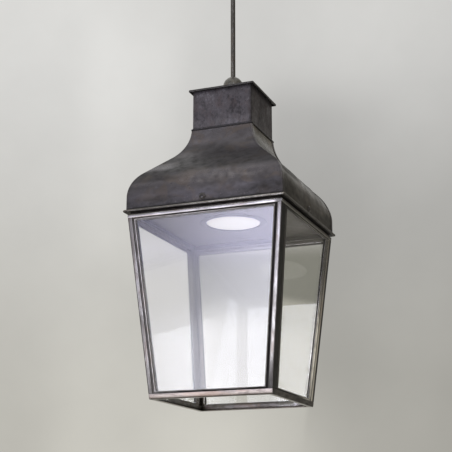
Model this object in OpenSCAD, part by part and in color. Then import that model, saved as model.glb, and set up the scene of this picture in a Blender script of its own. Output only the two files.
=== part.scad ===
// Square tapered pendant lantern on a rigid rod, hung from a ceiling swivel.
// Millimetres. +Z is up, the front faces -Y, the origin is the centre of the
// ceiling fixing at the ceiling's face, and the lantern hangs below it.

/* [Hanging] */
// Distance from the ceiling to the lantern's drip ledge
drop = 600; // [560:10:1500]
// Outer radius of the hanging rod
rod_r = 5; // [4:0.5:5]
// Radius of the cable way through rod and ball
cable_r = 3.9; // [3:0.1:3.9]
// Radius of the swivel ball
ball_r = 14; // [13:0.5:14]
// Outer radius of the ceiling rose
rose_r = 58; // [54:1:80]
// Height of the ceiling rose
rose_h = 27; // [26.5:0.5:27]

/* [Roof] */
// Half width of the drip ledge
ledge_half = 168; // [166:1:175]
// Half width of the roof at its skirt
skirt_half = 162.2; // [162:0.1:163]
// Half width of the roof under the chimney
neck_half = 65.2; // [65:0.1:66]
// Radius of the hollow curve of the roof
hollow_r = 98; // [90:1:105]
// Radius of the swelling curve of the roof
swell_r = 76; // [70:1:80]
// Steepest lean of the roof from upright
roof_lean = 47; // [45:1:48]
// Height of the roof's top edge above the ledge
roof_h = 187.4; // [185:0.1:188]
// Thickness of the roof sheet
sheet_t = 1.2; // [0.8:0.1:1.3]
// Width of the folded lap along each hip
lap_w = 9; // [6:0.5:12]

/* [Chimney] */
// Half width of the chimney
chimney_half = 64.2; // [64:0.1:64.4]
// Height of the lid's top above the ledge
lid_top = 277; // [270:1:290]
// Half width of the lid
lid_half = 71.4; // [69:0.1:76]
// Height of the lid's rim
lid_t = 4.4; // [3:0.1:6]
// Radius of the domed cap
cap_r = 21; // [19:0.5:24]

/* [Frame] */
// Half width of the frame at its top
top_half = 160.8; // [158:0.1:163]
// Half width of the frame at its foot
foot_half = 124; // [118:0.5:135]
// Depth of the frame's top edge below the ledge
frame_top = 6.2; // [6:0.1:8]
// Depth of the frame's foot below the ledge
frame_foot = 365.2; // [320:0.2:420]
// Width of the corner posts' front and back faces
post_w = 9; // [8:0.5:10]
// Width of the corner posts' side faces
side_post_w = 19; // [16:0.5:20]
// Width of the glazing bead by the posts on the two sides
side_bead_w = 13.5; // [8:0.5:14]
// Height of the top rails' faces
top_rail_w = 7; // [6:0.5:8]
// Height of the bottom rails' faces
foot_rail_w = 10.6; // [9:0.1:11]
// Thickness of the frame's angle section
angle_t = 1.5; // [1.2:0.1:1.5]
// Thickness of the glass
glass_t = 3; // [2.5:0.1:3]

/* [Light] */
// Radius of the glowing disc
disc_r = 55.5; // [50:0.5:56]
// Outer radius of the trim ring
trim_r = 68.5; // [64:0.5:74]

/* [Hidden] */

$fn = 96;
e = 0.01;
bronze = "#4b4541";
bronze_lit = "#8a8079";
steel = "#b9bab8";

zf = -drop;                       // the drip ledge's middle
lid_z = zf + lid_top;             // the lid's top

// ceiling fitting
strap_t = 2.5;                    // thickness of the bracket
strap_drop = 24.5;                // the bracket web's underside
ball_z = -26.5;                   // centre of the swivel ball
seat_gap = 0.3;                   // gap between ball and socket
socket_r = 20;                    // outer radius of the socket
mouth_r = 9.9;                    // mouth that the rod leaves by
pin_r = 2;                        // radius of the swivel's stub pins
hole_dx = 80;                     // spacing of the ceiling screws
hole_r = 2.6;                     // radius of the ceiling screws' holes

// roof curve: an arc, a straight and an arc
hollow_cx = neck_half + hollow_r; // hollow arc's centre, out from the axis
hollow_cz = 194;                  // hollow arc's centre, above the ledge
p1 = [hollow_cx - hollow_r * cos(roof_lean), hollow_cz - hollow_r * sin(roof_lean)];
p2x = skirt_half - swell_r * (1 - cos(roof_lean));
straight = (p2x - p1[0]) / sin(roof_lean);
p2 = [p2x, p1[1] - straight * cos(roof_lean)];
swell_c = [skirt_half - swell_r, p2[1] - swell_r * sin(roof_lean)];
ledge_t = 5;                      // thickness of the ledge
skirt_z = ledge_t / 2;            // the skirt stands on the ledge
lap_t = 0.8;                      // thickness of the folded lap

// skirt screws
screw_z = 13.5;
screw_x = [0];
head_r = 6.8;
head_h = 3.2;

// frame side planes
side_h = frame_foot - frame_top;
lean = atan((top_half - foot_half) / side_h);
side_l = sqrt(side_h * side_h + (top_half - foot_half) * (top_half - foot_half));
ring_in = 7;                      // outer edge of a glazing frame, from the hips
ring_top = 3;                     // the same, from the top edge
ring_foot = 3.5;                  // the same, from the foot
groove = 3;                       // dark groove beside each post
side_groove = 1.5;                // the same, on the two sides
bead_w = 3.5;                     // width of the glazing bead by the posts
seal_w = 0.7;                     // width of the seal that shows by the posts
top_groove = 1.8;                 // groove, bead and seal by the top rails
top_bead = 2.6;
top_seal = 1.8;
foot_groove = 2.4;                // groove, bead and seal by the bottom rails
foot_bead = 1.4;
foot_seal = 0.6;
web_t = 1;                        // thickness of the glazing frame's webs

// lamp
plate_z = ledge_t / 2;            // underside of the plate round the lamp
plate_t = 1.2;
lamp_top = 62;                    // top of the lamp's base
twist = 20;                       // turn that frees the lamp

module at_ledge() { translate([0, 0, zf]) children(); }

// four sides: 0 front, 90 right, 180 back, 270 left
module side(turn) { rotate([0, 0, turn]) children(); }

// ------------------------------------------------------------ ceiling fitting

// hat-shaped strap screwed to the ceiling
module ceiling_bracket() {
  color(steel) difference() {
    union() {
      translate([-52, -14, -strap_t]) cube([24.5, 28, strap_t]);
      translate([27.5, -14, -strap_t]) cube([24.5, 28, strap_t]);
      translate([-30, -14, -strap_drop]) cube([strap_t, 28, strap_drop]);
      translate([27.5, -14, -strap_drop]) cube([strap_t, 28, strap_drop]);
      translate([-30, -30, -strap_drop]) cube([60, 60, strap_t]);
      translate([-14, 30 - e, -strap_drop]) cube([28, 18, strap_t]);
    }
    translate([0, 0, -strap_drop - 1]) cylinder(r = socket_r + 0.1, h = strap_t + 2);
    for (s = [-1, 1]) translate([s * hole_dx / 2, 0, -strap_t - 1]) cylinder(r = hole_r, h = strap_t + 2, $fn = 48);
    translate([-24, -24, -strap_drop - 1]) cylinder(r = 2.1, h = strap_t + 2, $fn = 32);
  }
}

// cup that the ball hangs in, open at the top, with two slots for the pins
module swivel_socket() {
  color(bronze_lit) translate([0, 0, ball_z]) difference() {
    union() {
      translate([0, 0, -13.5]) cylinder(r = socket_r, h = 23.5);
      translate([0, 0, 4.5]) cylinder(r = 25, h = 3);
    }
    sphere(r = ball_r + seat_gap, $fn = 96);
    cylinder(r = ball_r + seat_gap, h = 12);
    translate([0, 0, -14]) cylinder(r = mouth_r, h = 14);
    for (s = [0, 180]) rotate([0, 0, s]) translate([0, -pin_r - 0.3, -6]) cube([26, 2 * pin_r + 0.6, 20]);
  }
}

module swivel_pins() {
  color(steel) translate([0, 0, ball_z]) for (s = [0, 180]) rotate([0, 0, s])
    translate([8.5, 0, 0]) rotate([0, 90, 0]) cylinder(r = pin_r, h = 10.7, $fn = 48);
}

module swivel_ball() {
  color(bronze_lit) translate([0, 0, ball_z]) difference() {
    intersection() {
      sphere(r = ball_r, $fn = 96);
      translate([0, 0, -12.6]) cylinder(r = 20, h = 23.6);
    }
    translate([0, 0, -20]) cylinder(r = cable_r, h = 40);
    translate([0, 0, -20]) cylinder(r = rod_r + 0.03, h = 17);
    for (s = [0, 180]) rotate([0, 0, s]) translate([8.2, 0, 0]) rotate([0, 90, 0]) cylinder(r = pin_r + 0.05, h = 10, $fn = 48);
  }
}

// ring nut that clamps the rose up against the bracket
module socket_ring_nut() {
  color(bronze_lit) difference() {
    rotate_extrude() polygon([[socket_r + 0.05, -rose_h - 0.05], [26, -rose_h - 0.05], [26.6, -rose_h - 0.8],
      [26.6, -rose_h - 4.6], [25.4, -rose_h - 6], [socket_r + 0.05, -rose_h - 6]]);
    for (k = [0 : 3]) rotate([0, 0, 45 + 90 * k]) translate([23.6, -1.6, -rose_h - 7]) cube([6, 3.2, 4]);
  }
}

// shallow turned cover over the ceiling fitting
module ceiling_rose() {
  color(bronze) rotate_extrude($fn = 128) difference() {
    union() {
      translate([0, -rose_h]) square([rose_r - 9, rose_h]);
      translate([0, -rose_h + 9]) square([rose_r, rose_h - 9]);
      translate([rose_r - 9, -rose_h + 9]) circle(r = 9);
    }
    union() {
      translate([-1, -rose_h + 1.3]) square([rose_r - 9 + 1, rose_h]);
      translate([-1, -rose_h + 9]) square([rose_r - 1.3 + 1, rose_h]);
      translate([rose_r - 9, -rose_h + 9]) circle(r = 7.7);
    }
    translate([-1, -rose_h - 1]) square([socket_r + 0.15 + 1, 4]);
    translate([-1, -rose_h - 1]) square([1, rose_h + 2]);
  }
}

module terminal_block() {
  color("#e3e0d6") difference() {
    union() {
      translate([-13, 32.5, -strap_drop + strap_t]) cube([26, 14, 10]);
      translate([-13, 35.5, -strap_drop + strap_t + 10 - e]) cube([26, 8, 4]);
    }
    for (x = [-8.5, 0, 8.5]) {
      translate([x, 30, -strap_drop + strap_t + 5]) rotate([-90, 0, 0]) cylinder(r = 1.7, h = 20, $fn = 24);
      translate([x, 39.5, -strap_drop + strap_t + 8]) cylinder(r = 2, h = 8, $fn = 24);
    }
  }
}

module earth_screw() {
  color("#b59a52") translate([-24, -24, -strap_drop]) {
    translate([0, 0, strap_t]) cylinder(r = 5, h = 0.8, $fn = 48);
    difference() {
      translate([0, 0, strap_t + 0.8 - e]) cylinder(r = 3.8, h = 2.6, $fn = 48);
      translate([-5, -0.5, strap_t + 2.2]) cube([10, 1, 3]);
    }
    translate([0, 0, -0.6]) cylinder(r = 2, h = strap_t + 1, $fn = 32);
  }
}

// ------------------------------------------------------------ rod and cap

// bored tube from the ball to the nut inside the chimney
module suspension_rod() {
  color(bronze) difference() {
    translate([0, 0, lid_z - 28]) cylinder(r = rod_r, h = ball_z - 3.4 - (lid_z - 28), $fn = 64);
    translate([0, 0, lid_z - 30]) cylinder(r = cable_r + 0.1, h = 400, $fn = 64);
  }
}

// spun cap: a hemisphere on a short skirt with a turned foot
module dome_cap() {
  color(bronze) translate([0, 0, lid_z]) rotate_extrude($fn = 96) difference() {
    union() {
      intersection() {
        translate([0, 24]) circle(r = cap_r);
        translate([0, 24]) square([cap_r + 1, cap_r + 1]);
      }
      square([cap_r, 24]);
      square([cap_r + 3, 2]);
      translate([cap_r + 1.6, 2]) circle(r = 1.4, $fn = 32);
      square([cap_r + 1.6, 3.4]);
    }
    intersection() {
      translate([0, 24]) circle(r = cap_r - 1.6);
      translate([0, 23]) square([cap_r + 1, cap_r + 1]);
    }
    translate([-1, -1]) square([cap_r - 1.6 + 1, 25.5]);
    translate([-1, -1]) square([rod_r + 0.1 + 1, 60]);
    translate([-30, -1]) square([30, 60]);
  }
}

module hex_nut(r, af, h) {
  difference() {
    cylinder(r = af / 2 / cos(30), h = h, $fn = 6);
    translate([0, 0, -1]) cylinder(r = r, h = h + 2, $fn = 64);
  }
}

module rod_nuts() {
  color(steel) {
    translate([0, 0, lid_z + 1.5]) hex_nut(rod_r + 0.03, 15, 5);
    translate([0, 0, lid_z - 16.5]) hex_nut(rod_r + 0.03, 15, 6);
  }
}

module rod_washers() {
  color(steel) for (z = [0.02, -10.48]) translate([0, 0, lid_z + z]) difference() {
    cylinder(r = 11, h = 1.45, $fn = 64);
    translate([0, 0, -1]) cylinder(r = rod_r + 0.2, h = 4, $fn = 64);
  }
}

// ------------------------------------------------------------ chimney

// shallow pan with its rim turned down
module chimney_lid() {
  color(bronze) translate([0, 0, lid_z]) difference() {
    translate([-lid_half, -lid_half, -lid_t]) cube([2 * lid_half, 2 * lid_half, lid_t]);
    translate([-lid_half + 1.4, -lid_half + 1.4, -lid_t - 1]) cube([2 * lid_half - 2.8, 2 * lid_half - 2.8, lid_t + 1 - 1.4]);
    translate([0, 0, -lid_t - 1]) cylinder(r = rod_r + 0.2, h = lid_t + 2);
  }
}

module chimney_box() {
  h = lid_top - 1.42 - roof_h;
  color(bronze) translate([0, 0, zf + roof_h]) difference() {
    translate([-chimney_half, -chimney_half, 0]) cube([2 * chimney_half, 2 * chimney_half, h]);
    translate([-chimney_half + sheet_t, -chimney_half + sheet_t, -1]) cube([2 * (chimney_half - sheet_t), 2 * (chimney_half - sheet_t), h + 2]);
  }
}

// thin half-round bead round the foot of the chimney
module chimney_bead() {
  w = chimney_half + 0.05;
  o = 67;
  color(bronze_lit) translate([0, 0, zf + roof_h + 0.05]) for (t = [0 : 3]) rotate([0, 0, 90 * t]) intersection() {
    rotate([90, 0, 0]) linear_extrude(height = 2 * o + 2, center = true) union() {
      translate([w, 0]) square([o - w - 1.9, 3.8]);
      intersection() {
        translate([o - 1.9, 1.9]) circle(r = 1.9, $fn = 32);
        translate([w, -1]) square([6, 6]);
      }
      translate([w, 3.7]) square([0.8, 2.2]);
    }
    linear_extrude(height = 20, center = true) polygon([[0, 0], [o + 5, -o - 5], [o + 5, o + 5]]);
  }
}

// plate soldered across the chimney, which carries the lantern on the rod's nut
module hanger_plate() {
  w = chimney_half - sheet_t - 0.02;
  color("#9d8450") translate([0, 0, lid_z - 9]) difference() {
    union() {
      translate([-w, -w, 0]) cube([2 * w, 2 * w, 3]);
      for (t = [0 : 3]) rotate([0, 0, 90 * t]) translate([-w + 8, w - 1.5, -12]) cube([2 * w - 16, 1.5, 12 + e]);
    }
    translate([0, 0, -1]) cylinder(r = rod_r + 0.2, h = 6);
    for (t = [0 : 3]) rotate([0, 0, 45 + 90 * t]) translate([44, 0, -1]) cylinder(r = 7, h = 6);
  }
}

// ------------------------------------------------------------ roof

// all that lies inside the roof's curve, off outwards. Its arcs stand a hair
// proud of its straights, so that they cross them and never only graze them
module roof_inside(off) {
  n = [cos(roof_lean), sin(roof_lean)];
  proud = 0.01;
  difference() {
    union() {
      translate([-50 + off, off]) square([50 + skirt_half, swell_c[1] - off]);
      translate(swell_c) circle(r = swell_r + off + proud, $fn = 180);
      polygon([[-50 + off, off], swell_c, p2 + off * n, p1 + off * n, [hollow_cx, hollow_cz],
        [hollow_cx, hollow_cz + 20 - off], [-50 + off, hollow_cz + 20 - off]]);
    }
    translate([hollow_cx, hollow_cz]) circle(r = hollow_r - off + proud, $fn = 180);
  }
}

// section of the roof sheet: off outwards from the curve, th thick
module roof_section(off, th) {
  intersection() {
    difference() { roof_inside(off); roof_inside(off - th); }
    translate([0, skirt_z]) square([250, roof_h - skirt_z]);
  }
}

module roof_run(off, th) {
  rotate([90, 0, 0]) linear_extrude(height = 400, center = true) roof_section(off, th);
}

module skirt_holes(r) {
  for (y = screw_x) translate([skirt_half - 8, y, screw_z]) rotate([0, 90, 0]) cylinder(r = r, h = 16, $fn = 32);
}

// plain panel between two hips, for the left and right sides
module roof_side(turn) {
  color(bronze) at_ledge() side(turn) difference() {
    intersection() {
      roof_run(0, sheet_t);
      linear_extrude(height = 250) polygon([[0.1, 0], [230.1, -230], [230.1, 230]]);
    }
    skirt_holes(2.2);
  }
}

// panel whose edges fold round the hips and lap over the side panels
module roof_lapped(turn) {
  color(bronze) at_ledge() side(turn) {
    difference() {
      intersection() {
        roof_run(lap_t, sheet_t);
        linear_extrude(height = 250) polygon([[0, 0], [230, -230], [230, 230]]);
      }
      skirt_holes(2.2);
    }
    for (m = [0, 1]) mirror([0, m, 0]) intersection() {
      rotate([0, 0, 90]) roof_run(lap_t, lap_t - 0.05);
      linear_extrude(height = 250) polygon([[-lap_w, 0], [0, 0], [230, 230], [230 - lap_w, 230]]);
    }
  }
}

// rounded ledge at the skirt, with a lip that stands on the frame below
module drip_ledge() {
  i = top_half - 10;
  n = top_half - 4.6;
  color(bronze_lit) at_ledge() for (t = [0 : 3]) side(90 * t) intersection() {
    rotate([90, 0, 0]) linear_extrude(height = 2 * ledge_half + 2, center = true) union() {
      translate([i, -ledge_t / 2]) square([ledge_half - ledge_t / 2 - i, ledge_t]);
      intersection() {
        translate([ledge_half - ledge_t / 2, 0]) circle(r = ledge_t / 2, $fn = 48);
        translate([i, -ledge_t / 2]) square([30, ledge_t]);
      }
      translate([n - 4, -frame_top]) square([4, frame_top - ledge_t / 2 + e]);
    }
    translate([0, 0, -20]) linear_extrude(height = 40) polygon([[0, 0], [ledge_half + 10, -ledge_half - 10], [ledge_half + 10, ledge_half + 10]]);
  }
}

// upstand inside the skirt that the roof is screwed to
module roof_curb() {
  o = skirt_half - sheet_t - 0.05;
  color(bronze) at_ledge() difference() {
    translate([-o, -o, skirt_z]) cube([2 * o, 2 * o, 21]);
    translate([-o + 2, -o + 2, skirt_z - 1]) cube([2 * o - 4, 2 * o - 4, 23]);
    for (t = [0 : 3]) side(90 * t) skirt_holes(2.05);
  }
}

// slotted dome-head screws through the skirt, one in the middle of each side
module roof_screws() {
  color(bronze_lit) at_ledge() for (t = [0 : 3]) side(90 * t) for (y = screw_x) {
    lift = (t % 2 == 0) ? 0 : lap_t;
    a = skirt_half + lift + 0.02;
    translate([a, y, screw_z]) rotate([0, 90, 0]) difference() {
      union() {
        intersection() {
          translate([0, 0, head_h - 10]) sphere(r = 10, $fn = 48);
          cylinder(r = head_r, h = 10, $fn = 48);
        }
        translate([0, 0, -7]) cylinder(r = 2, h = 7 + e, $fn = 32);
      }
      translate([-0.6, -8, head_h - 1]) cube([1.2, 16, 3]);
    }
  }
}

// ------------------------------------------------------------ light

// plate that closes the top of the glazed part round the lamp
module reflector_plate() {
  w = skirt_half - sheet_t - 0.05 - 2.05;
  color(bronze_lit) at_ledge() difference() {
    translate([-w, -w, plate_z + 0.02]) cube([2 * w, 2 * w, plate_t]);
    translate([0, 0, -5]) cylinder(r = disc_r + 2.3, h = 20, $fn = 128);
  }
}

module trim_ring() {
  color(bronze) at_ledge() rotate_extrude($fn = 128) polygon([[disc_r + 1, plate_z], [disc_r + 1, -0.4],
    [disc_r + 1.8, -1], [trim_r - 4, -1], [trim_r - 0.6, 0.8], [trim_r, 1.6], [trim_r, plate_z]]);
}

module lamp_bracket() {
  top = lamp_top + 20;
  color(steel) at_ledge() difference() {
    union() {
      for (s = [0, 180]) rotate([0, 0, s]) {
        translate([62, -10, plate_z + plate_t + 0.04]) cube([18, 20, 1.6]);
        translate([62, -10, plate_z + plate_t + 0.04]) cube([1.6, 20, top - plate_z - plate_t]);
      }
      translate([-63.6, -10, top]) cube([127.2, 20, 1.6]);
    }
    translate([0, 0, top - 1]) cylinder(r = 4, h = 4, $fn = 48);
    for (s = [-1, 1]) translate([s * 9, 0, top - 1]) cylinder(r = 1.6, h = 4, $fn = 24);
  }
}

// twist-lock holder with two curved slots
module lamp_holder() {
  z0 = lamp_top + 0.3;
  h = 20 - 0.32;
  color("#efede6") at_ledge() difference() {
    translate([0, 0, z0]) cylinder(r = 14, h = h, $fn = 64);
    for (s = [0, 180]) rotate([0, 0, s]) {
      // entry for the pin's head, at the turn that frees the lamp
      rotate([0, 0, -twist]) translate([5, 0, z0 - 1]) cylinder(r = 3, h = 10, $fn = 32);
      // narrow way for the shank
      rotate([0, 0, -twist]) translate([0, 0, z0 - 1]) rotate_extrude(angle = twist, $fn = 96) translate([3.2, 0]) square([3.6, 5]);
      translate([5, 0, z0 - 1]) cylinder(r = 1.95, h = 5, $fn = 32);
      // wide way for the head
      rotate([0, 0, -twist]) translate([0, 0, z0 + 3.2]) rotate_extrude(angle = twist, $fn = 96) translate([2.2, 0]) square([5.6, 5.8]);
      translate([5, 0, z0 + 3.2]) cylinder(r = 3, h = 5.8, $fn = 32);
    }
    for (s = [-1, 1]) translate([s * 9, 0, z0 + h - 8]) cylinder(r = 1.55, h = 10, $fn = 24);
  }
}

module holder_screws() {
  top = lamp_top + 20 + 1.6;
  color(steel) at_ledge() for (s = [-1, 1]) translate([s * 9, 0, top]) difference() {
    union() {
      translate([0, 0, 0.02]) cylinder(r = 2.8, h = 1.8, $fn = 32);
      translate([0, 0, -9]) cylinder(r = 1.5, h = 9.1, $fn = 24);
    }
    translate([-4, -0.4, 1.1]) cube([8, 0.8, 2]);
  }
}

// wide reflector lamp with a twist base
module lamp_body() {
  color("#d8d8d6") at_ledge() difference() {
    rotate_extrude($fn = 128) polygon([[disc_r - 3, 3], [disc_r, 3], [disc_r, 13], [disc_r - 3, 16], [34, 46],
      [20, 50], [20, 54], [12.5, 56], [12.5, lamp_top], [0, lamp_top], [0, lamp_top - 2], [10.5, lamp_top - 2],
      [10.5, 54.4], [18, 52.4], [18, 48.4], [32.7, 44.5], [disc_r - 4.8, 15.2], [disc_r - 3, 12.4]]);
    for (s = [-1, 1]) translate([s * 5, 0, lamp_top - 4]) cylinder(r = 1.52, h = 6, $fn = 32);
  }
}

module lamp_diffuser() {
  color("white") at_ledge() rotate_extrude($fn = 128) polygon([[0, 0], [disc_r - 12, 0.3], [disc_r - 3, 1.2],
    [disc_r - 0.4, 2.2], [disc_r - 0.4, 2.98], [disc_r - 3.05, 2.98], [disc_r - 3.05, 5.95], [disc_r - 5, 5.95],
    [disc_r - 5, 3.4], [disc_r - 12, 2.5], [0, 2.2]]);
}

module lamp_pins() {
  color(steel) at_ledge() for (s = [-1, 1]) translate([s * 5, 0, lamp_top - 3.9]) {
    cylinder(r = 1.5, h = 8.6, $fn = 32);
    translate([0, 0, 8.6 - e]) cylinder(r = 2.5, h = 2.2, $fn = 32);
  }
}

// ------------------------------------------------------------ glazed frame

// stands a side's flat drawing up: x along the side, y up from the frame's
// top edge, extruded inwards from depth d0 to depth d1
module face(d0, d1) {
  translate([0, -top_half, zf - frame_top]) rotate([90 + lean, 0, 0])
    translate([0, 0, -d1]) linear_extrude(height = d1 - d0) children();
}

// half width of a side, y down from its top edge
function half_at(y) = top_half - (top_half - foot_half) * y / side_l;
// length of hip inset s, measured along the side's width
hip = sqrt(1 + pow((top_half - foot_half) / side_l, 2));

// the side's outline, set in by s at the hips, t at the top, f at the foot
module outline(s, t, f) {
  polygon([[-half_at(t) + s * hip, -t], [half_at(t) - s * hip, -t],
    [half_at(side_l - f) - s * hip, -side_l + f], [-half_at(side_l - f) + s * hip, -side_l + f]]);
}

// half-space inside the outer face of the side at a turn
module inside_of(turn) {
  side(turn) translate([0, -top_half, zf - frame_top]) rotate([90 + lean, 0, 0])
    translate([-300, -600, -600]) cube([600, 900, 600]);
}

// all that lies between the frame's top and foot
module frame_slab() {
  translate([-200, -200, zf - frame_foot]) cube([400, 400, frame_foot - frame_top]);
}

// all that lies between the rails, where the posts stand
module post_slab() {
  translate([-200, -200, zf - frame_foot + foot_rail_w * cos(lean) + 0.2])
    cube([400, 400, side_h - (foot_rail_w + top_rail_w) * cos(lean) - 0.25]);
}

// plan wedge between a side's two hips, drawn in a hair so that rails only meet
module mitre() {
  translate([0, -0.06, zf - frame_foot - 5]) linear_extrude(height = frame_foot + 5) polygon([[0, 0], [-300, -300], [300, -300]]);
}

// true for the left and right sides
function is_side(turn) = turn % 180 == 90;
function leg_w(turn) = is_side(turn) ? side_post_w : post_w;
// inset of a side's bead from its hips, and the bead's width there
function bead_s(turn) = leg_w(turn) + (is_side(turn) ? side_groove : groove);
function bead_sw(turn) = is_side(turn) ? side_bead_w : bead_w;

// one face of a post, w wide: the strip along the hip at the drawing's right
module post_strip(w) {
  intersection() {
    polygon([[half_at(-3) - w * hip, 3], [half_at(-3) + 6, 3], [half_at(side_l + 3) + 6, -side_l - 3], [half_at(side_l + 3) - w * hip, -side_l - 3]]);
    translate([0, -side_l - 2]) square([300, side_l + 4]);
  }
}

// unequal angle-section post on the hip between a side and the next one
// anticlockwise, standing between the rails' mitred corners
module post(turn) {
  color(bronze_lit) intersection() {
    union() {
      intersection() { side(turn) face(0, angle_t) post_strip(leg_w(turn)); inside_of(turn + 90); }
      intersection() { side(turn + 90) face(0, angle_t) mirror([1, 0]) post_strip(leg_w(turn + 90)); inside_of(turn); }
    }
    post_slab();
  }
}

// angle-section rail mitred at both hips: an upright face and a level leg
module top_rail(turn) {
  color(bronze_lit) side(turn) {
    intersection() {
      union() {
        face(0, angle_t) translate([-200, -top_rail_w]) square([400, top_rail_w + 3]);
        intersection() {
          translate([-top_half, -top_half, zf - frame_top - angle_t]) cube([2 * top_half, 8.5, angle_t]);
          inside_of(0);
        }
      }
      mitre();
      frame_slab();
    }
  }
}

module foot_rail(turn) {
  color(bronze_lit) side(turn) {
    intersection() {
      union() {
        face(0, angle_t) translate([-200, -side_l - 3]) square([400, foot_rail_w + 3]);
        intersection() {
          translate([-foot_half - 5, -foot_half - 2, zf - frame_foot]) cube([2 * foot_half + 10, 10.5, angle_t]);
          inside_of(0);
        }
      }
      mitre();
      frame_slab();
    }
  }
}

// channel frame that carries one pane, with a raised bead round the glass
module glazing(turn) {
  s1 = bead_s(turn);
  s2 = s1 + bead_sw(turn);
  t1 = top_rail_w + top_groove;
  t2 = t1 + top_bead;
  f1 = foot_rail_w + foot_groove;
  f2 = f1 + foot_bead;
  d = angle_t + 0.02;
  color(bronze_lit) side(turn) {
    // web in front of the glass
    face(d, d + web_t) difference() { outline(ring_in, ring_top, ring_foot); outline(s2, t2, f2); }
    // raised bead
    face(0.3, d + e) difference() { outline(s1, t1, f1); outline(s2, t2, f2); }
    // rim round the edge of the glass
    face(d + web_t - e, d + web_t + glass_t + 0.04 + e) difference() { outline(ring_in, ring_top, ring_foot); outline(ring_in + 1.5, ring_top + 1.5, ring_foot + 1.5); }
    // lip behind the glass
    face(d + web_t + glass_t + 0.04, d + 2 * web_t + glass_t + 0.04) difference() { outline(ring_in, ring_top, ring_foot); outline(s2 - 1, t2 - 1, f2 - 1); }
  }
}

module glass(turn) {
  d = angle_t + 0.02 + web_t + 0.02;
  color([0.8, 0.85, 0.88, 0.35]) side(turn) face(d, d + glass_t) outline(ring_in + 1.7, ring_top + 1.7, ring_foot + 1.7);
}

// thin dark seal showing between bead and glass
module seal(turn) {
  s1 = bead_s(turn) + bead_sw(turn) + 0.02;
  t1 = top_rail_w + top_groove + top_bead + 0.02;
  f1 = foot_rail_w + foot_groove + foot_bead + 0.02;
  d = angle_t + 0.02 + web_t;
  color("#23211f") side(turn) face(d - 1, d) difference() { outline(s1, t1, f1); outline(s1 + seal_w, t1 + top_seal, f1 + foot_seal); }
}

ceiling_bracket();
swivel_socket();
swivel_pins();
swivel_ball();
socket_ring_nut();
ceiling_rose();
terminal_block();
earth_screw();
suspension_rod();
dome_cap();
rod_nuts();
rod_washers();
chimney_lid();
chimney_box();
chimney_bead();
hanger_plate();
roof_lapped(-90);  // roof_front
roof_lapped(90);  // roof_back
roof_side(180);  // roof_left
roof_side(0);  // roof_right
drip_ledge();
roof_curb();
roof_screws();
reflector_plate();
trim_ring();
lamp_bracket();
lamp_holder();
holder_screws();
lamp_body();
lamp_diffuser();
lamp_pins();
post(0);  // post_front_right
post(90);  // post_back_right
post(180);  // post_back_left
post(270);  // post_front_left
top_rail(0);  // top_rail_front
top_rail(90);  // top_rail_right
top_rail(180);  // top_rail_back
top_rail(270);  // top_rail_left
foot_rail(0);  // foot_rail_front
foot_rail(90);  // foot_rail_right
foot_rail(180);  // foot_rail_back
foot_rail(270);  // foot_rail_left
glazing(0);  // glazing_front
glazing(90);  // glazing_right
glazing(180);  // glazing_back
glazing(270);  // glazing_left
glass(0);  // glass_front
glass(90);  // glass_right
glass(180);  // glass_back
glass(270);  // glass_left
seal(0);  // seal_front
seal(90);  // seal_right
seal(180);  // seal_back
seal(270);  // seal_left
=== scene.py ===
"""Looks of a square tapered pendant lantern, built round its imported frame.

Metres, +Z up, the front faces -Y. Sizes below are in millimetres, with heights
given from the drip ledge's middle unless a line says otherwise.
"""

import math

import bmesh
import bpy
import numpy as np
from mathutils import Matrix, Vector

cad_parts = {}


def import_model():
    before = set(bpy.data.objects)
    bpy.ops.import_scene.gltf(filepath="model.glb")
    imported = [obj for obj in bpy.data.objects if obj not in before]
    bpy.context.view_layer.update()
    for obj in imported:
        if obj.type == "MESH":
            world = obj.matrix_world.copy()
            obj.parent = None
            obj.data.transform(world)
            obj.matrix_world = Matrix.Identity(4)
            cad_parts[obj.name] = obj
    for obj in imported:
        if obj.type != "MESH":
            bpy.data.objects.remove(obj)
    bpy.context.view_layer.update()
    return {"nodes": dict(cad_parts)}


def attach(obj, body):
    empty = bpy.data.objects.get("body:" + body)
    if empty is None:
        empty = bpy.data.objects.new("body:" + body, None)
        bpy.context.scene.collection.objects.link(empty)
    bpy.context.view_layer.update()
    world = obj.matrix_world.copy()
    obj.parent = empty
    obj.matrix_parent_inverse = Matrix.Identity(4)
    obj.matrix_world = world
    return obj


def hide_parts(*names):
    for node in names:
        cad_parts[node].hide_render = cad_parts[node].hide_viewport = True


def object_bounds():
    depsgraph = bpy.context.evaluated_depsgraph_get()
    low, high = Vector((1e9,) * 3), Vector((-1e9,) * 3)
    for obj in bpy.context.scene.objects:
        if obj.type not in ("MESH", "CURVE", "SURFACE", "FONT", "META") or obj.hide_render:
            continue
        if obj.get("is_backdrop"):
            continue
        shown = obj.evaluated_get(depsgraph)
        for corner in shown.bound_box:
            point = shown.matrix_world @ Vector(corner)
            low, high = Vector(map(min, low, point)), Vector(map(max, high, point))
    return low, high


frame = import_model()

MM = 0.001
ZF = -600.0  # height of the drip ledge's middle below the ceiling

# ---------------------------------------------------------------- small tools


def ripple(p, size, seed, waves=12):
    """Smooth noise, about -1 to 1, at points p in millimetres, its bumps about size across."""
    rng = np.random.default_rng(seed)
    p = np.asarray(p, float)
    k = rng.normal(size=(waves, p.shape[-1]))
    k /= np.linalg.norm(k, axis=1, keepdims=True)
    k *= (2 * np.pi / size) * rng.uniform(0.55, 1.5, (waves, 1))
    phase = rng.uniform(0, 2 * np.pi, waves)
    return np.cos(p @ k.T + phase).sum(-1) / math.sqrt(waves)


def smooth01(x, a, b):
    t = np.clip((np.asarray(x, float) - a) / (b - a), 0, 1)
    return t * t * (3 - 2 * t)


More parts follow.
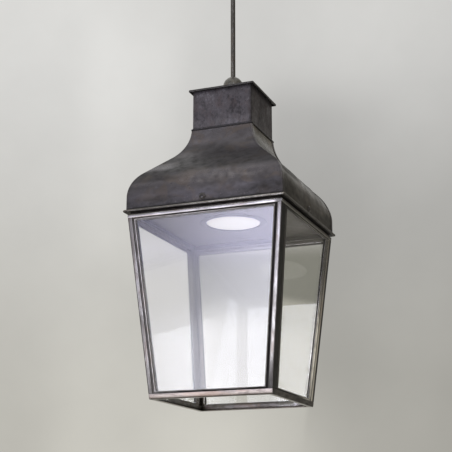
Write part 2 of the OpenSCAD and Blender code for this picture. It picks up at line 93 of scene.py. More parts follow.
def grid_faces(nu, nv, close_u, close_v, base=0):
    faces = []
    for i in range(nu if close_u else nu - 1):
        i2 = (i + 1) % nu
        for j in range(nv if close_v else nv - 1):
            j2 = (j + 1) % nv
            faces.append((base + i * nv + j, base + i * nv + j2, base + i2 * nv + j2, base + i2 * nv + j))
    return faces


def piece(name, verts, faces, body, material, replaces=(), wear_and_sheen=None, grime_and_shade=None, sharp=35, merge=0.0):
    """A mesh piece from points in millimetres, standing for some CAD nodes."""
    verts = np.asarray(verts, float) * MM
    me = bpy.data.meshes.new(name)
    me.from_pydata([tuple(v) for v in verts], [], faces)
    # the first attribute holds rubbed edges and painted highlights, the second painted shade and a little soot
    for label, values in (("wear_and_sheen", wear_and_sheen), ("grime_and_shade", grime_and_shade)):
        if values is not None:
            a = me.attributes.new(label, "FLOAT", "POINT")
            a.data.foreach_set("value", np.asarray(values, np.float32).ravel())
    bm = bmesh.new()
    bm.from_mesh(me)
    bmesh.ops.remove_doubles(bm, verts=bm.verts, dist=max(merge, 0.0005) * MM)
    bmesh.ops.dissolve_degenerate(bm, edges=bm.edges, dist=0.0002 * MM)
    bmesh.ops.recalc_face_normals(bm, faces=bm.faces)
    if bm.calc_volume(signed=True) < 0:
        bmesh.ops.reverse_faces(bm, faces=bm.faces)
    bm.to_mesh(me)
    bm.free()
    me.shade_smooth()
    me.set_sharp_from_angle(angle=math.radians(sharp))
    obj = bpy.data.objects.new(name, me)
    bpy.context.scene.collection.objects.link(obj)
    me.materials.append(material)
    if replaces:
        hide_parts(*replaces)
    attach(obj, body)
    return obj


def rounded(points, radii, guard=1.2, arc=4, longest=0.0):
    """A closed outline with its corners rounded. Gives the points and how worn each is: 1 on a
    rounded outer corner, falling to 0 a guard's length away. Points run anticlockwise."""
    pts = [np.asarray(p, float) for p in points]
    out, worn = [], []
    n = len(pts)
    for i in range(n):
        a, b, c = pts[i - 1], pts[i], pts[(i + 1) % n]
        r = radii[i]
        u, w = a - b, c - b
        lu, lw = np.linalg.norm(u), np.linalg.norm(w)
        u, w = u / lu, w / lw
        turn = w[0] * -u[1] - w[1] * -u[0]
        convex = (-u[0]) * w[1] - (-u[1]) * w[0] > 0
        half = math.acos(max(-1, min(1, float(u @ w)))) / 2
        if r <= 0 or half > 1.5:
            out.append(b)
            worn.append(0.0)
            continue
        cut = min(r / math.tan(half), 0.45 * min(lu, lw))
        r = cut * math.tan(half)
        centre = b + (u + w) / np.linalg.norm(u + w) * (r / math.sin(half))
        g = min(guard, 0.4 * lu - cut * 0.5)
        if g > 0.15:
            out.append(b + u * (cut + g))
            worn.append(0.0)
        s, e = b + u * cut - centre, b + w * cut - centre
        for k in range(arc + 1):
            t = k / arc
            v = s * (1 - t) + e * t
            v = v / np.linalg.norm(v) * r
            out.append(centre + v)
            worn.append(1.0 if convex else 0.0)
        g = min(guard, 0.4 * lw - cut * 0.5)
        if g > 0.15:
            out.append(b + w * (cut + g))
            worn.append(0.0)
    if longest:
        more, more_worn = [], []
        for i in range(len(out)):
            a, b = np.asarray(out[i]), np.asarray(out[(i + 1) % len(out)])
            parts = max(1, int(np.linalg.norm(b - a) / longest))
            for k in range(parts):
                more.append(a + (b - a) * k / parts)
                more_worn.append(worn[i] + (worn[(i + 1) % len(out)] - worn[i]) * k / parts)
        out, worn = more, more_worn
    return np.array(out), np.array(worn)


def square_loop(half, corner, steps=24, arc=4):
    """Points round a square with rounded corners, in plan."""
    corner = max(min(corner, half * 0.98), 0.01)
    pts = []
    for q in range(4):
        a0 = math.radians(-135 + 90 * q + 90)
        c, s = math.cos(math.radians(90 * q)), math.sin(math.radians(90 * q))
        line = []
        for k in range(arc + 1):
            t = math.radians(-90 + 90 * k / arc)
            line.append((half - corner + corner * math.cos(t), -half + corner + corner * math.sin(t)))
        for k in range(1, steps):
            t = k / steps
            line.append((half, -half + corner + (2 * half - 2 * corner) * t))
        pts += [(x * c - y * s, x * s + y * c) for x, y in line]
    return np.array(pts)


def square_ring(profile, worn, corner, steps=24, wave=0.0, size=60, seed=1, arc=4):
    """A closed profile of (half width, height) run round a square. Gives vertices, faces, and wear with painted sheen.
    """
    loops, wear_and_sheen = [], []
    for (h, z), w in zip(profile, worn):
        xy = square_loop(h, corner(h), steps, arc)
        loops.append(np.column_stack([xy, np.full(len(xy), z)]))
        wear_and_sheen.append(np.full(len(xy), w))
    v = np.array(loops)
    nu, nv = v.shape[:2]
    v = v.reshape(-1, 3)
    if wave:
        mid = v.copy()
        mid[:, 2] *= 0.2
        radial = v[:, :2] / np.maximum(np.linalg.norm(v[:, :2], axis=1, keepdims=True), 1)
        v[:, 2] += wave * ripple(mid, size, seed)
        v[:, :2] += radial * (0.6 * wave * ripple(mid, size, seed + 50))[:, None]
    v[:, 2] += ZF
    return v, grid_faces(nu, nv, True, True), np.concatenate(wear_and_sheen)


def lathe(profile, steps=96, closed=True, z0=0.0):
    """A closed profile of (radius, height) turned about the axis."""
    a = np.linspace(0, 2 * np.pi, steps, endpoint=False)
    v = np.array([[(r * math.cos(t), r * math.sin(t), z + z0) for t in a] for r, z in profile])
    return v.reshape(-1, 3), grid_faces(len(profile), steps, closed, True)


# ------------------------------------------------------------------ materials


class Graph:
    """A short way to write node trees."""

    def __init__(self, tree):
        self.t = tree
        tree.nodes.clear()

    def put(self, socket, value):
        if isinstance(value, bpy.types.NodeSocket):
            self.t.links.new(value, socket)
        elif value is not None:
            socket.default_value = value

    def node(self, kind, sockets=None, **props):
        n = self.t.nodes.new(kind)
        for k, v in props.items():
            setattr(n, k, v)
        for k, v in (sockets or {}).items():
            self.put(n.inputs[k], v)
        return n

    def math(self, op, a, b=None, c=None, clamp=False):
        n = self.node("ShaderNodeMath", operation=op, use_clamp=clamp)
        for i, v in enumerate((a, b, c)):
            if v is not None:
                self.put(n.inputs[i], v)
        return n.outputs[0]

    def vec(self, op, a, b=None):
        n = self.node("ShaderNodeVectorMath", operation=op)
        self.put(n.inputs[0], a)
        if b is not None:
            self.put(n.inputs[1], b)
        return n.outputs["Value"] if op in ("DOT_PRODUCT", "LENGTH", "DISTANCE") else n.outputs[0]

    def mix(self, t, a, b, blend="MIX"):
        n = self.node("ShaderNodeMix", data_type="RGBA", blend_type=blend)
        self.put(n.inputs[0], t)
        self.put(n.inputs[6], a if isinstance(a, bpy.types.NodeSocket) else (*a, 1))
        self.put(n.inputs[7], b if isinstance(b, bpy.types.NodeSocket) else (*b, 1))
        return n.outputs[2]

    def span(self, x, a, b, lo=0.0, hi=1.0, smooth=True):
        n = self.node("ShaderNodeMapRange", interpolation_type="SMOOTHSTEP" if smooth else "LINEAR")
        n.clamp = True
        for i, v in enumerate((x, a, b, lo, hi)):
            self.put(n.inputs[i], v)
        return n.outputs[0]

    def coords(self, stretch=(1, 1, 1)):
        c = self.node("ShaderNodeTexCoord").outputs["Object"]
        if stretch == (1, 1, 1):
            return c
        return self.node("ShaderNodeMapping", {0: c, 3: stretch}).outputs[0]

    def noise(self, scale, detail=3.0, rough=0.55, stretch=(1, 1, 1), distort=0.0, at=None):
        n = self.node(
            "ShaderNodeTexNoise",
            {"Vector": at or self.coords(stretch), "Scale": scale, "Detail": detail, "Roughness": rough, "Distortion": distort},
        )
        return n.outputs[0]


def new_material(name):
    m = bpy.data.materials.new(name)
    m.use_nodes = True
    return m, Graph(m.node_tree)


def patina(name, dark, mid, light, warm, metal=0.35, rough=(0.36, 0.6), spec=0.4, worn=(0.36, 0.34, 0.33), streak=(1, 1, 1), blotch=28, wear_amount=1.0, scratch=0.5, speck=0.0, bump=0.22, crack=0.0, ragged=0.86, shade_and_soot=(0.010, 0.009, 0.009)):
    """Hand-aged bronze: cloudy browns and greys, fine scratches, rubbed edges and painted highlights in paler metal,
    painted shade and a little soot in its corners.
    """
    m, g = new_material(name)
    big = g.noise(blotch, 4, 0.6, streak, 0.6)
    small = g.noise(blotch * 5.5, 4, 0.62, streak, 0.3)
    fine = g.noise(900, 3, 0.7, streak)
    tone = g.math("ADD", g.math("MULTIPLY", big, 0.62), g.math("MULTIPLY", small, 0.38))
    base = g.mix(g.span(tone, 0.36, 0.52), dark, mid)
    base = g.mix(g.span(tone, 0.52, 0.66), base, light)
    other = g.noise(blotch * 1.7, 3, 0.6, streak, 0.8)
    base = g.mix(g.math("MULTIPLY", g.span(other, 0.48, 0.66), 0.65), base, warm)
    # thin scratches and specks, rubbed through to lighter metal
    line = g.noise(260, 5, 0.75, (streak[0] * 0.25 + 0.1, streak[1] * 0.25 + 0.1, streak[2] * 1.6), 0.2)
    rubbed = g.math("MULTIPLY", g.span(line, 0.62, 0.72), scratch)
    # rubbed edges, and on some pieces painted highlights and sheen, lighten towards the worn colour
    wear_and_sheen = g.node("ShaderNodeAttribute", attribute_name="wear_and_sheen").outputs["Fac"]
    broken = g.span(g.noise(110, 4, 0.6, streak), 0.34, 0.62)
    edge = g.math("MULTIPLY", g.math("MULTIPLY", wear_and_sheen, wear_amount), g.math("ADD", 0.4, g.math("MULTIPLY", broken, 0.6)))
    bare = g.math("MAXIMUM", edge, rubbed, clamp=True)
    if speck:
        # bright flecks low on the skirt, where the patina has been knocked off
        z = g.node("ShaderNodeSeparateXYZ", {0: g.coords()}).outputs[2]
        low = g.span(z, -0.572, -0.592)
        fleck = g.span(g.noise(420, 4, 0.7), 0.60, 0.68)
        bare = g.math("MAXIMUM", bare, g.math("MULTIPLY", g.math("MULTIPLY", low, fleck), speck), clamp=True)
    base = g.mix(bare, base, worn)
    if crack:
        gash = g.span(g.noise(330, 5, 0.7, (streak[0] * 0.9, streak[1] * 0.9, streak[2] * 0.8), 0.3), 0.44, 0.36)
        base = g.mix(g.math("MULTIPLY", gash, crack), base, shade_and_soot)
    # painted shade: the attribute read here darkens the colour towards near black in recesses, grooves, undersides and
    # on shaded faces, with a little real soot
    dirt_and_shade = g.node("ShaderNodeAttribute", attribute_name="grime_and_shade").outputs["Fac"]
    dirt_and_shade = g.math("MULTIPLY", dirt_and_shade, g.span(small, 0.25, 0.6, 1.0, ragged), clamp=True)
    base = g.mix(dirt_and_shade, base, shade_and_soot)
    r = g.math("ADD", g.span(tone, 0.35, 0.65, rough[1], rough[0]), g.math("MULTIPLY", g.math("SUBTRACT", fine, 0.5), 0.12))
    r = g.math("SUBTRACT", r, g.math("MULTIPLY", bare, 0.10), clamp=True)
    r = g.math("ADD", r, g.math("MULTIPLY", dirt_and_shade, 0.35), clamp=True)
    bump_h = g.math("ADD", g.math("MULTIPLY", small, 0.7), g.math("MULTIPLY", fine, 0.25))
    bumps = g.node("ShaderNodeBump", {"Strength": bump, "Distance": 0.0006, "Height": bump_h})
    s = g.node(
        "ShaderNodeBsdfPrincipled",
        {"Base Color": base, "Metallic": metal if not isinstance(metal, tuple) else g.span(tone, 0.3, 0.7, *metal), "Roughness": r, "Specular IOR Level": spec, "Normal": bumps.outputs[0]},
    )
    out = g.node("ShaderNodeOutputMaterial")
    g.t.links.new(s.outputs[0], out.inputs[0])
    return m


roof_metal = patina("roof_patina", (0.062, 0.055, 0.061), (0.089, 0.081, 0.091), (0.128, 0.119, 0.134), (0.110, 0.086, 0.074), metal=0.42, rough=(0.20, 0.33), spec=0.5, streak=(0.66, 0.66, 1.0), blotch=17, wear_amount=0.40, scratch=0.14, speck=0.9, worn=(0.34, 0.315, 0.315), bump=0.14, crack=0.10, ragged=0.75)
# painted shade: a darker, browner copy of the roof patina, used for the two side panels
shaded_side_metal = patina("shaded_roof_side_patina", (0.048, 0.040, 0.029), (0.078, 0.066, 0.050), (0.118, 0.101, 0.076), (0.104, 0.074, 0.046), metal=0.42, rough=(0.20, 0.33), spec=0.5, streak=(0.66, 0.66, 1.0), blotch=17, wear_amount=0.30, scratch=0.14, speck=0.5, worn=(0.29, 0.26, 0.21), bump=0.14, crack=0.10, ragged=0.75)
chimney_metal = patina("chimney_patina", (0.030, 0.026, 0.031), (0.074, 0.066, 0.075), (0.142, 0.130, 0.147), (0.076, 0.058, 0.061), metal=0.30, rough=(0.34, 0.50), spec=0.4, streak=(0.9, 0.9, 0.62), blotch=40, scratch=0.55, wear_amount=0.22, worn=(0.26, 0.245, 0.258), crack=0.55, ragged=0.8)
lid_metal = patina("lid_patina", (0.020, 0.018, 0.018), (0.034, 0.031, 0.031), (0.055, 0.051, 0.051), (0.040, 0.030, 0.026), metal=0.35, rough=(0.32, 0.5), spec=0.5, blotch=45, scratch=0.2, wear_amount=0.40, worn=(0.15, 0.145, 0.14))
bead_metal = patina("bead_patina", (0.014, 0.012, 0.014), (0.025, 0.022, 0.026), (0.046, 0.042, 0.048), (0.028, 0.022, 0.022), metal=0.5, rough=(0.24, 0.38), spec=0.5, blotch=70, scratch=0.15, wear_amount=0.4, worn=(0.10, 0.094, 0.104))
FRAME_TONES = ((0.088, 0.081, 0.070), (0.166, 0.158, 0.142), (0.284, 0.276, 0.254), (0.152, 0.118, 0.094))
post_metal = patina("post_bronze", *FRAME_TONES, metal=0.95, rough=(0.14, 0.24), blotch=34, streak=(1.2, 1.2, 0.22), worn=(0.42, 0.405, 0.375), wear_amount=0.45, scratch=0.35, bump=0.10, ragged=0.98)
# painted light: a much paler copy of the post bronze for the back right post
painted_lit_post_metal = patina("painted_lit_post_bronze", (0.190, 0.176, 0.152), (0.360, 0.340, 0.300), (0.540, 0.516, 0.465), (0.330, 0.262, 0.205), metal=0.95, rough=(0.16, 0.28), blotch=34, streak=(1.2, 1.2, 0.22), worn=(0.60, 0.58, 0.53), wear_amount=0.45, scratch=0.35, bump=0.10, ragged=0.98)
rail_metal = patina("rail_bronze", (0.108, 0.100, 0.092), (0.216, 0.206, 0.192), (0.356, 0.344, 0.325), (0.185, 0.148, 0.122), metal=0.95, rough=(0.15, 0.26), blotch=34, streak=(0.3, 0.3, 1.2), worn=(0.48, 0.465, 0.44), wear_amount=0.40, scratch=0.35, bump=0.10)
sill_metal = patina("sill_bronze", (0.096, 0.080, 0.066), (0.190, 0.166, 0.140), (0.325, 0.292, 0.254), (0.176, 0.130, 0.098), metal=0.95, rough=(0.15, 0.26), blotch=34, streak=(0.3, 0.3, 1.2), worn=(0.46, 0.425, 0.38), wear_amount=0.40, scratch=0.35, bump=0.10)
# its near-white worn colour gives the pane frames' painted highlights as well as their rubbed metal
bead_bronze = patina("bead_bronze", (0.120, 0.110, 0.098), (0.225, 0.213, 0.196), (0.375, 0.360, 0.338), (0.200, 0.158, 0.126), metal=0.95, rough=(0.14, 0.24), blotch=30, streak=(0.5, 0.5, 0.5), worn=(0.86, 0.84, 0.80), wear_amount=0.9, scratch=0.10, bump=0.10, ragged=0.98)
# the pale worn colour also serves the painted highlight along the drip ledge's rounded tip
ledge_metal = patina("ledge_bronze", (0.075, 0.066, 0.058), (0.135, 0.122, 0.110), (0.235, 0.218, 0.198), (0.135, 0.102, 0.080), metal=0.9, rough=(0.16, 0.28), spec=0.5, blotch=50, streak=(0.4, 0.4, 1), worn=(0.60, 0.57, 0.53), wear_amount=0.9, scratch=0.3)
cap_metal = patina("cap_bronze", (0.078, 0.073, 0.067), (0.142, 0.136, 0.122), (0.225, 0.214, 0.192), (0.150, 0.127, 0.102), metal=0.45, rough=(0.22, 0.36), spec=0.5, blotch=60)
rod_metal = patina("rod_bronze", (0.065, 0.061, 0.056), (0.115, 0.109, 0.101), (0.165, 0.157, 0.146), (0.105, 0.087, 0.070), metal=0.7, rough=(0.24, 0.38), spec=0.5, blotch=50, streak=(1, 1, 0.35))
plate_metal = patina("plate_bronze", (0.120, 0.112, 0.103), (0.155, 0.146, 0.136), (0.190, 0.181, 0.170), (0.150, 0.130, 0.111), metal=0.25, rough=(0.4, 0.55), spec=0.4, blotch=9, scratch=0.1, bump=0.05)
ring_metal = patina("ring_bronze", (0.07, 0.07, 0.062), (0.10, 0.10, 0.088), (0.13, 0.13, 0.115), (0.10, 0.095, 0.075), metal=0.3, rough=(0.35, 0.5), spec=0.4, blotch=40, scratch=0.1, wear_amount=0.3)
screw_metal = patina("screw_bronze", (0.022, 0.020, 0.020), (0.045, 0.040, 0.041), (0.09, 0.083, 0.083), (0.06, 0.044, 0.038), metal=0.6, rough=(0.24, 0.36), spec=0.5, blotch=120, worn=(0.28, 0.265, 0.26), wear_amount=0.5)


def simple_metal(name, colour, rough, metal=1.0, grain=300, tint=0.25):
    """Plain metal or plastic with a little grain, for the unseen hardware."""
    m, g = new_material(name)
    n = g.noise(grain, 4, 0.6)
    cloud = g.noise(60, 3, 0.6)
    base = g.mix(g.span(cloud, 0.35, 0.65), tuple(c * (1 - tint) for c in colour), tuple(min(1, c * (1 + tint * 0.5)) for c in colour))
    r = g.math("ADD", rough, g.math("MULTIPLY", g.math("SUBTRACT", n, 0.5), 0.2))
    bump = g.node("ShaderNodeBump", {"Strength": 0.15, "Distance": 0.0003, "Height": n})
    s = g.node("ShaderNodeBsdfPrincipled", {"Base Color": base, "Metallic": metal, "Roughness": r, "Normal": bump.outputs[0]})
    out = g.node("ShaderNodeOutputMaterial")
    g.t.links.new(s.outputs[0], out.inputs[0])
    return m


steel = simple_metal("zinc_steel", (0.55, 0.55, 0.54), 0.34)
brass = simple_metal("raw_brass", (0.52, 0.42, 0.22), 0.38)
lamp_shell = simple_metal("lamp_shell", (0.72, 0.72, 0.71), 0.3)
ceramic = simple_metal("holder_ceramic", (0.80, 0.79, 0.75), 0.55, metal=0.0, tint=0.06)
plastic = simple_metal("terminal_plastic", (0.80, 0.78, 0.70), 0.45, metal=0.0, tint=0.06)
rubber = simple_metal("seal_rubber", (0.16, 0.153, 0.148), 0.35, metal=0.5, tint=0.3)


def glass_material():
    """Clear pane: each face lets light straight through and mirrors some of it."""
    m, g = new_material("clear_glass")
    back = g.node("ShaderNodeNewGeometry").outputs["Backfacing"]
    ior = g.span(back, 0.0, 1.0, 1.5, 1 / 1.5, smooth=False)
    fres = g.node("ShaderNodeFresnel", {"IOR": ior}).outputs[0]
    clear = g.node("ShaderNodeBsdfTransparent", {"Color": (0.985, 0.985, 0.978, 1)})
    film = g.noise(9, 3, 0.5, (1, 1, 0.7))
    gloss = g.node("ShaderNodeBsdfGlossy", {"Color": (1, 1, 1, 1), "Roughness": g.span(film, 0.4, 0.7, 0.006, 0.03)})
    mixed = g.node("ShaderNodeMixShader")
    g.put(mixed.inputs[0], fres)
    g.t.links.new(clear.outputs[0], mixed.inputs[1])
    g.t.links.new(gloss.outputs[0], mixed.inputs[2])
    out = g.node("ShaderNodeOutputMaterial")
    g.t.links.new(mixed.outputs[0], out.inputs[0])
    return m


def diffuser_material():
    """Frosted opal disc, glowing, a little dimmer at its rim."""
    m, g = new_material("lit_opal")
    p = g.coords()
    xyz = g.node("ShaderNodeSeparateXYZ", {0: p})
    r = g.math("SQRT", g.math("ADD", g.math("POWER", xyz.outputs[0], 2.0), g.math("POWER", xyz.outputs[1], 2.0)))
    glow = g.span(r, 0.042, 0.056, 1.0, 0.80)
    cloud = g.span(g.noise(45, 2, 0.5), 0.3, 0.7, 0.97, 1.0)
    s = g.node("ShaderNodeBsdfPrincipled", {"Base Color": (0.9, 0.9, 0.89, 1), "Roughness": 0.5, "Emission Color": (1.0, 0.975, 0.90, 1), "Emission Strength": g.math("MULTIPLY", g.math("MULTIPLY", glow, cloud), 0.25)})
    out = g.node("ShaderNodeOutputMaterial")
    g.t.links.new(s.outputs[0], out.inputs[0])
    return m


glass = glass_material()
opal = diffuser_material()

# ----------------------------------------------------------------------- roof

NECK, SKIRT, HOLLOW_R, SWELL_R, LEAN_DEG = 65.2, 162.2, 98.0, 76.0, 47.0
HOLLOW_C = (NECK + HOLLOW_R, 194.0)
SWELL_C = (86.2, 27.909)
ROOF_H, SKIRT_Z = 187.4, 2.5


def roof_curve(off):
    """Points (half width, height, normal) up the roof's outer curve, from skirt to neck."""
    lean = math.radians(LEAN_DEG)
    out = []
    for z in np.linspace(SKIRT_Z + 0.05, SWELL_C[1], 12, endpoint=False):
        out.append((SKIRT + off, z, 1.0, 0.0))
    for t in np.linspace(0, lean, 26, endpoint=False):
        out.append((SWELL_C[0] + (SWELL_R + off) * math.cos(t), SWELL_C[1] + (SWELL_R + off) * math.sin(t), math.cos(t), math.sin(t)))
    a = (SWELL_C[0] + (SWELL_R + off) * math.cos(lean), SWELL_C[1] + (SWELL_R + off) * math.sin(lean))
    b = (HOLLOW_C[0] - (HOLLOW_R - off) * math.cos(lean), HOLLOW_C[1] - (HOLLOW_R - off) * math.sin(lean))
    for t in np.linspace(0, 1, 10, endpoint=False):
        out.append((a[0] + (b[0] - a[0]) * t, a[1] + (b[1] - a[1]) * t, math.cos(lean), math.sin(lean)))
    last = math.asin((HOLLOW_C[1] - ROOF_H) / (HOLLOW_R - off))
    for t in np.linspace(lean, last, 30):
        out.append((HOLLOW_C[0] - (HOLLOW_R - off) * math.cos(t), HOLLOW_C[1] - (HOLLOW_R - off) * math.sin(t), math.cos(t), math.sin(t)))
    return np.array(out)


def hammer(x, y, z):
    """Slight dents and long waves of the beaten sheet, as a depth along its normal."""
    p = np.column_stack([x, y, z])
    wide = ripple(p * np.array([0.6, 0.6, 1.3]), 70, 11)
    close = ripple(p * np.array([0.8, 0.8, 1.2]), 26, 12)
    return 0.42 * wide + 0.13 * close


def roof_panel(turn, lapped):
    """One roof panel, drawn for the front and turned. A lapped panel folds round both hips."""
    off = 0.8 if lapped else 0.0
    thick = 0.72 if lapped else 1.0
    rows = roof_curve(off)
    cols = 56
    shell = []
    for side in (0, 1):  # outer face, inner face
        for h, z, nh, nz in rows:
            d = thick * side
            hh, zz = h - nh * d, z - nz * d
            line = []
            if lapped:
                r = 1.3 - 0.72 * side
                for w in (9.0, 8.4, 7.2, 5.0, 3.2, 2.0):
                    line.append((-hh, -hh + w * (1 - 0.004 * side), zz, 0.0 if w < 8.3 else 0.75, w))
                for k in range(6):
                    t = math.radians(180 + 90 * k / 5)
                    line.append((-hh + r + r * math.cos(t), -hh + r + r * math.sin(t), zz, 1.0, 0.0))
                edge = hh - 2.2
            else:
                edge = hh - 1.0
            for x in np.linspace(-edge, edge, cols):
                line.append((x, -hh, zz, 0.0, 0.0))
            if lapped:
                right = [(-a, b, c, e, f) for a, b, c, e, f in line[:12]][::-1]
                line += right
            shell.append(line)
    shell = np.array(shell)
    nr, nc = len(rows), shell.shape[1]
    pts = shell[:, :, :3].reshape(-1, 3)
    wear_and_sheen = shell[:, :, 3].reshape(-1)
    normal_h = np.tile(np.repeat(rows[:, 2], nc), 2)
    normal_z = np.tile(np.repeat(rows[:, 3], nc), 2)
    # turn into place before the dents are worked out, so a lap moves with the sheet below it
    c, s = math.cos(math.radians(turn)), math.sin(math.radians(turn))
    placed = np.column_stack([pts[:, 0] * c - pts[:, 1] * s, pts[:, 0] * s + pts[:, 1] * c, pts[:, 2]])
    ax, ay = np.abs(placed[:, 0]), np.abs(placed[:, 1])
    # which way each point's sheet faces: along x or along y
    along_y = ay >= ax
    if lapped:
        on_lap = np.tile(np.repeat(np.zeros(1), nc), 2 * nr)
        lapcols = np.zeros(nc, bool)
        lapcols[:6] = True
        lapcols[-6:] = True
        lap = np.tile(lapcols, 2 * nr)
        along_y = np.where(lap, ~(abs(s) < 0.5), abs(s) < 0.5)
    else:
        along_y = np.full(len(placed), abs(s) < 0.5)
    gap = np.abs(ax - ay)
    hold = smooth01(gap, 2.0, 34.0) * smooth01(placed[:, 2], 4.0, 26.0) * smooth01(ROOF_H - placed[:, 2], 0.0, 22.0)
    depth = hammer(placed[:, 0], placed[:, 1], placed[:, 2]) * hold
    sx, sy = np.sign(placed[:, 0]), np.sign(placed[:, 1])
    placed[:, 0] += np.where(along_y, 0, sx * normal_h * depth)
    placed[:, 1] += np.where(along_y, sy * normal_h * depth, 0)
    placed[:, 2] += normal_z * depth
    # the lap's free edge is hand cut, so it wanders a little
    if lapped:
        freecols = np.zeros(nc)
        freecols[:3] = (1, 1, 0.6)
        freecols[-3:] = (0.6, 1, 1)
        free = np.tile(freecols, 2 * nr)
        wander = 0.35 * ripple(placed * np.array([0.3, 0.3, 1.0]), 38, 17) * free
        placed[:, 0] += np.where(along_y, 0.0, 0.0) + np.where(along_y, sx * wander, 0)
        placed[:, 1] += np.where(along_y, 0, sy * wander)
    placed[:, 2] += ZF
    # wear along the skirt's foot too
    low = smooth01(-(placed[:, 2] - ZF), -5.5, -3.0) * 0.35
    wear_and_sheen = np.maximum(wear_and_sheen, low)
    along, up = pts[:, 0], pts[:, 2]
    # painted shade: darker in the hollow under the neck, over parts of the swell and the lower skirt, at the skirt's
    # foot, beside the hips and round the screw heads, more on the side panels; a ripple varies it
    shade_ripple = ripple(np.column_stack([along * 0.30, up * 2.0]), 70, 300 + turn)
    hollow = smooth01(up, 62, 82) * smooth01(up, 126, 112)
    shade_and_soot = 0.90 * hollow * (1 - 0.8 * smooth01(along, -55, -100) * smooth01(up, 112, 100))
    shade_and_soot += (0.54 - 0.22 * smooth01(along, 5, 50)) * smooth01(up, 112, 124) * smooth01(up, 162, 144) + 0.10 * smooth01(up, 158, 168) * smooth01(along, 30, -20)
    shade_and_soot += 0.70 * smooth01(up, 52, 62) * smooth01(up, 92, 80) * smooth01(along, -15, -85)
    shade_and_soot += (0.12 + 0.30 * smooth01(along, -40, -110)) * smooth01(up, 54, 44) + 0.48 * smooth01(along, 84, 135) * smooth01(up, 44, 28)
    shade_and_soot += 0.42 * smooth01(up, 30, 17) * (1 - 0.5 * smooth01(along, 84, 135))
    if not lapped:
        shade_and_soot += 0.16 * smooth01(up, 150, 128) + 0.14 * smooth01(up, 60, 40)
    shade_and_soot = shade_and_soot * (1 + 0.20 * shade_ripple) + 0.30 * smooth01(gap, 8.0, 1.0)
    shade_and_soot = np.maximum(np.clip(shade_and_soot, 0, 0.92), 1.3 * smooth01(up, 8.0, 6.0))
    # shade round the screw's head
    shade_and_soot = np.maximum(shade_and_soot, 0.85 * smooth01(np.hypot(along - 0.5, up - 12.9), 9.4, 7.2))
    # painted highlight: a lighter cloud of sheen across the swell, strong on the front and back panels, faint on the
    # sides
    cloud = np.exp(-(((along - 62) / 64) ** 2) - ((up - 52) / 15) ** 2) + 0.40 * np.exp(-(((along + 22) / 40) ** 2) - ((up - 52) / 12) ** 2)
    cloud *= 0.66 + 0.55 * ripple(np.column_stack([along * 1.1, up * 1.3]), 24, 320 + turn)
    wear_and_sheen = np.maximum(wear_and_sheen, np.clip(cloud, 0, 1) * (0.85 if lapped else 0.3))
    faces = grid_faces(nr, nc, False, False) + grid_faces(nr, nc, False, False, nr * nc)
    k = nr * nc
    for i in range(nr - 1):
        faces.append((i * nc, (i + 1) * nc, k + (i + 1) * nc, k + i * nc))
        faces.append((i * nc + nc - 1, (i + 1) * nc + nc - 1, k + (i + 1) * nc + nc - 1, k + i * nc + nc - 1))
    for j in range(nc - 1):
        faces.append((j, j + 1, k + j + 1, k + j))
        a = (nr - 1) * nc
        faces.append((a + j, a + j + 1, k + a + j + 1, k + a + j))
    return placed, faces, wear_and_sheen, shade_and_soot


for name, turn, lapped in (("front", 0, True), ("right", 90, False), ("back", 180, True), ("left", 270, False)):
    v, f, w, d = roof_panel(turn, lapped)
    piece("roof_panel_" + name, v, f, "lantern", roof_metal if lapped else shaded_side_metal, ["roof_" + name], wear_and_sheen=w, grime_and_shade=d, sharp=50)

# --------------------------------------------------------------- drip ledge

prof, worn = rounded(
    [(150.8, -2.5), (152.2, -2.5), (152.2, -6.2), (156.2, -6.2), (156.2, -2.5), (168.0, -2.5), (168.0, 2.5), (150.8, 2.5)],
    [0.3, 0, 0.3, 0.3, 0.4, 2.4, 2.4, 0.3],
    guard=1.6,
    arc=7,
)
# painted highlight: the rounded outer tip takes the worn colour, growing stronger to the right and weaker on the
# right-hand face
worn = np.where((prof[:, 0] > 164) & (worn > 0), 1.0, 0.0)
# painted shade: dark over the recess under the ledge and the tip's underside, half dark over the whole right-hand face
dark = np.where(prof[:, 0] < 164.0, 0.85, smooth01(-prof[:, 1], 0.1, 1.7) * 0.9)
dark = np.where((prof[:, 1] > 1.0), 0.0, dark)
v, f, w = square_ring(prof, worn, lambda h: max(0.25, 2.6 - (168.0 - h) * 0.5), steps=56, wave=0.10, size=45, seed=5)
w = w * (0.25 + 0.75 * smooth01(v[:, 0], -120, 90)) * np.where(v[:, 0] > 166, 0.35, 1.0)
dark = np.repeat(dark, len(v) // len(prof))
dark = np.maximum(dark, 0.45 * smooth01(v[:, 0] - np.abs(v[:, 1]), 0, 3))
piece("drip_ledge_rim", v, f, "lantern", ledge_metal, ["drip_ledge"], wear_and_sheen=w, grime_and_shade=dark)

# ------------------------------------------------------------------- chimney

prof, worn = rounded([(63.0, 187.45), (64.2, 187.45), (64.2, 275.55), (63.0, 275.55)], [0.1, 0.1, 0.1, 0.1], guard=0.0)
outer = np.linspace(187.45, 275.55, 26)
prof = np.array([(63.0, z) for z in outer[::-1]] + [(64.2, z) for z in outer])
worn = np.zeros(len(prof))
loops = []
for h, z in prof:
    loops.append(np.column_stack([square_loop(h, 1.4 if h > 64 else 0.4, 26, 5), np.full(4 * 31, z)]))
v = np.array(loops).reshape(-1, 3)
w = np.zeros((len(prof), 4 * 31))
for q in range(4):
    w[:, q * 31 : q * 31 + 6] = 0.8
face_x = np.abs(v[:, 0]) > np.abs(v[:, 1])
hold = smooth01(np.abs(np.abs(v[:, 0]) - np.abs(v[:, 1])), 1.5, 20) * smooth01(v[:, 2], 190, 205) * smooth01(-v[:, 2], -275, -262)
depth = (0.26 * ripple(v, 48, 21) + 0.10 * ripple(v, 17, 22)) * hold
v[:, 0] += np.where(face_x, np.sign(v[:, 0]) * depth, 0)
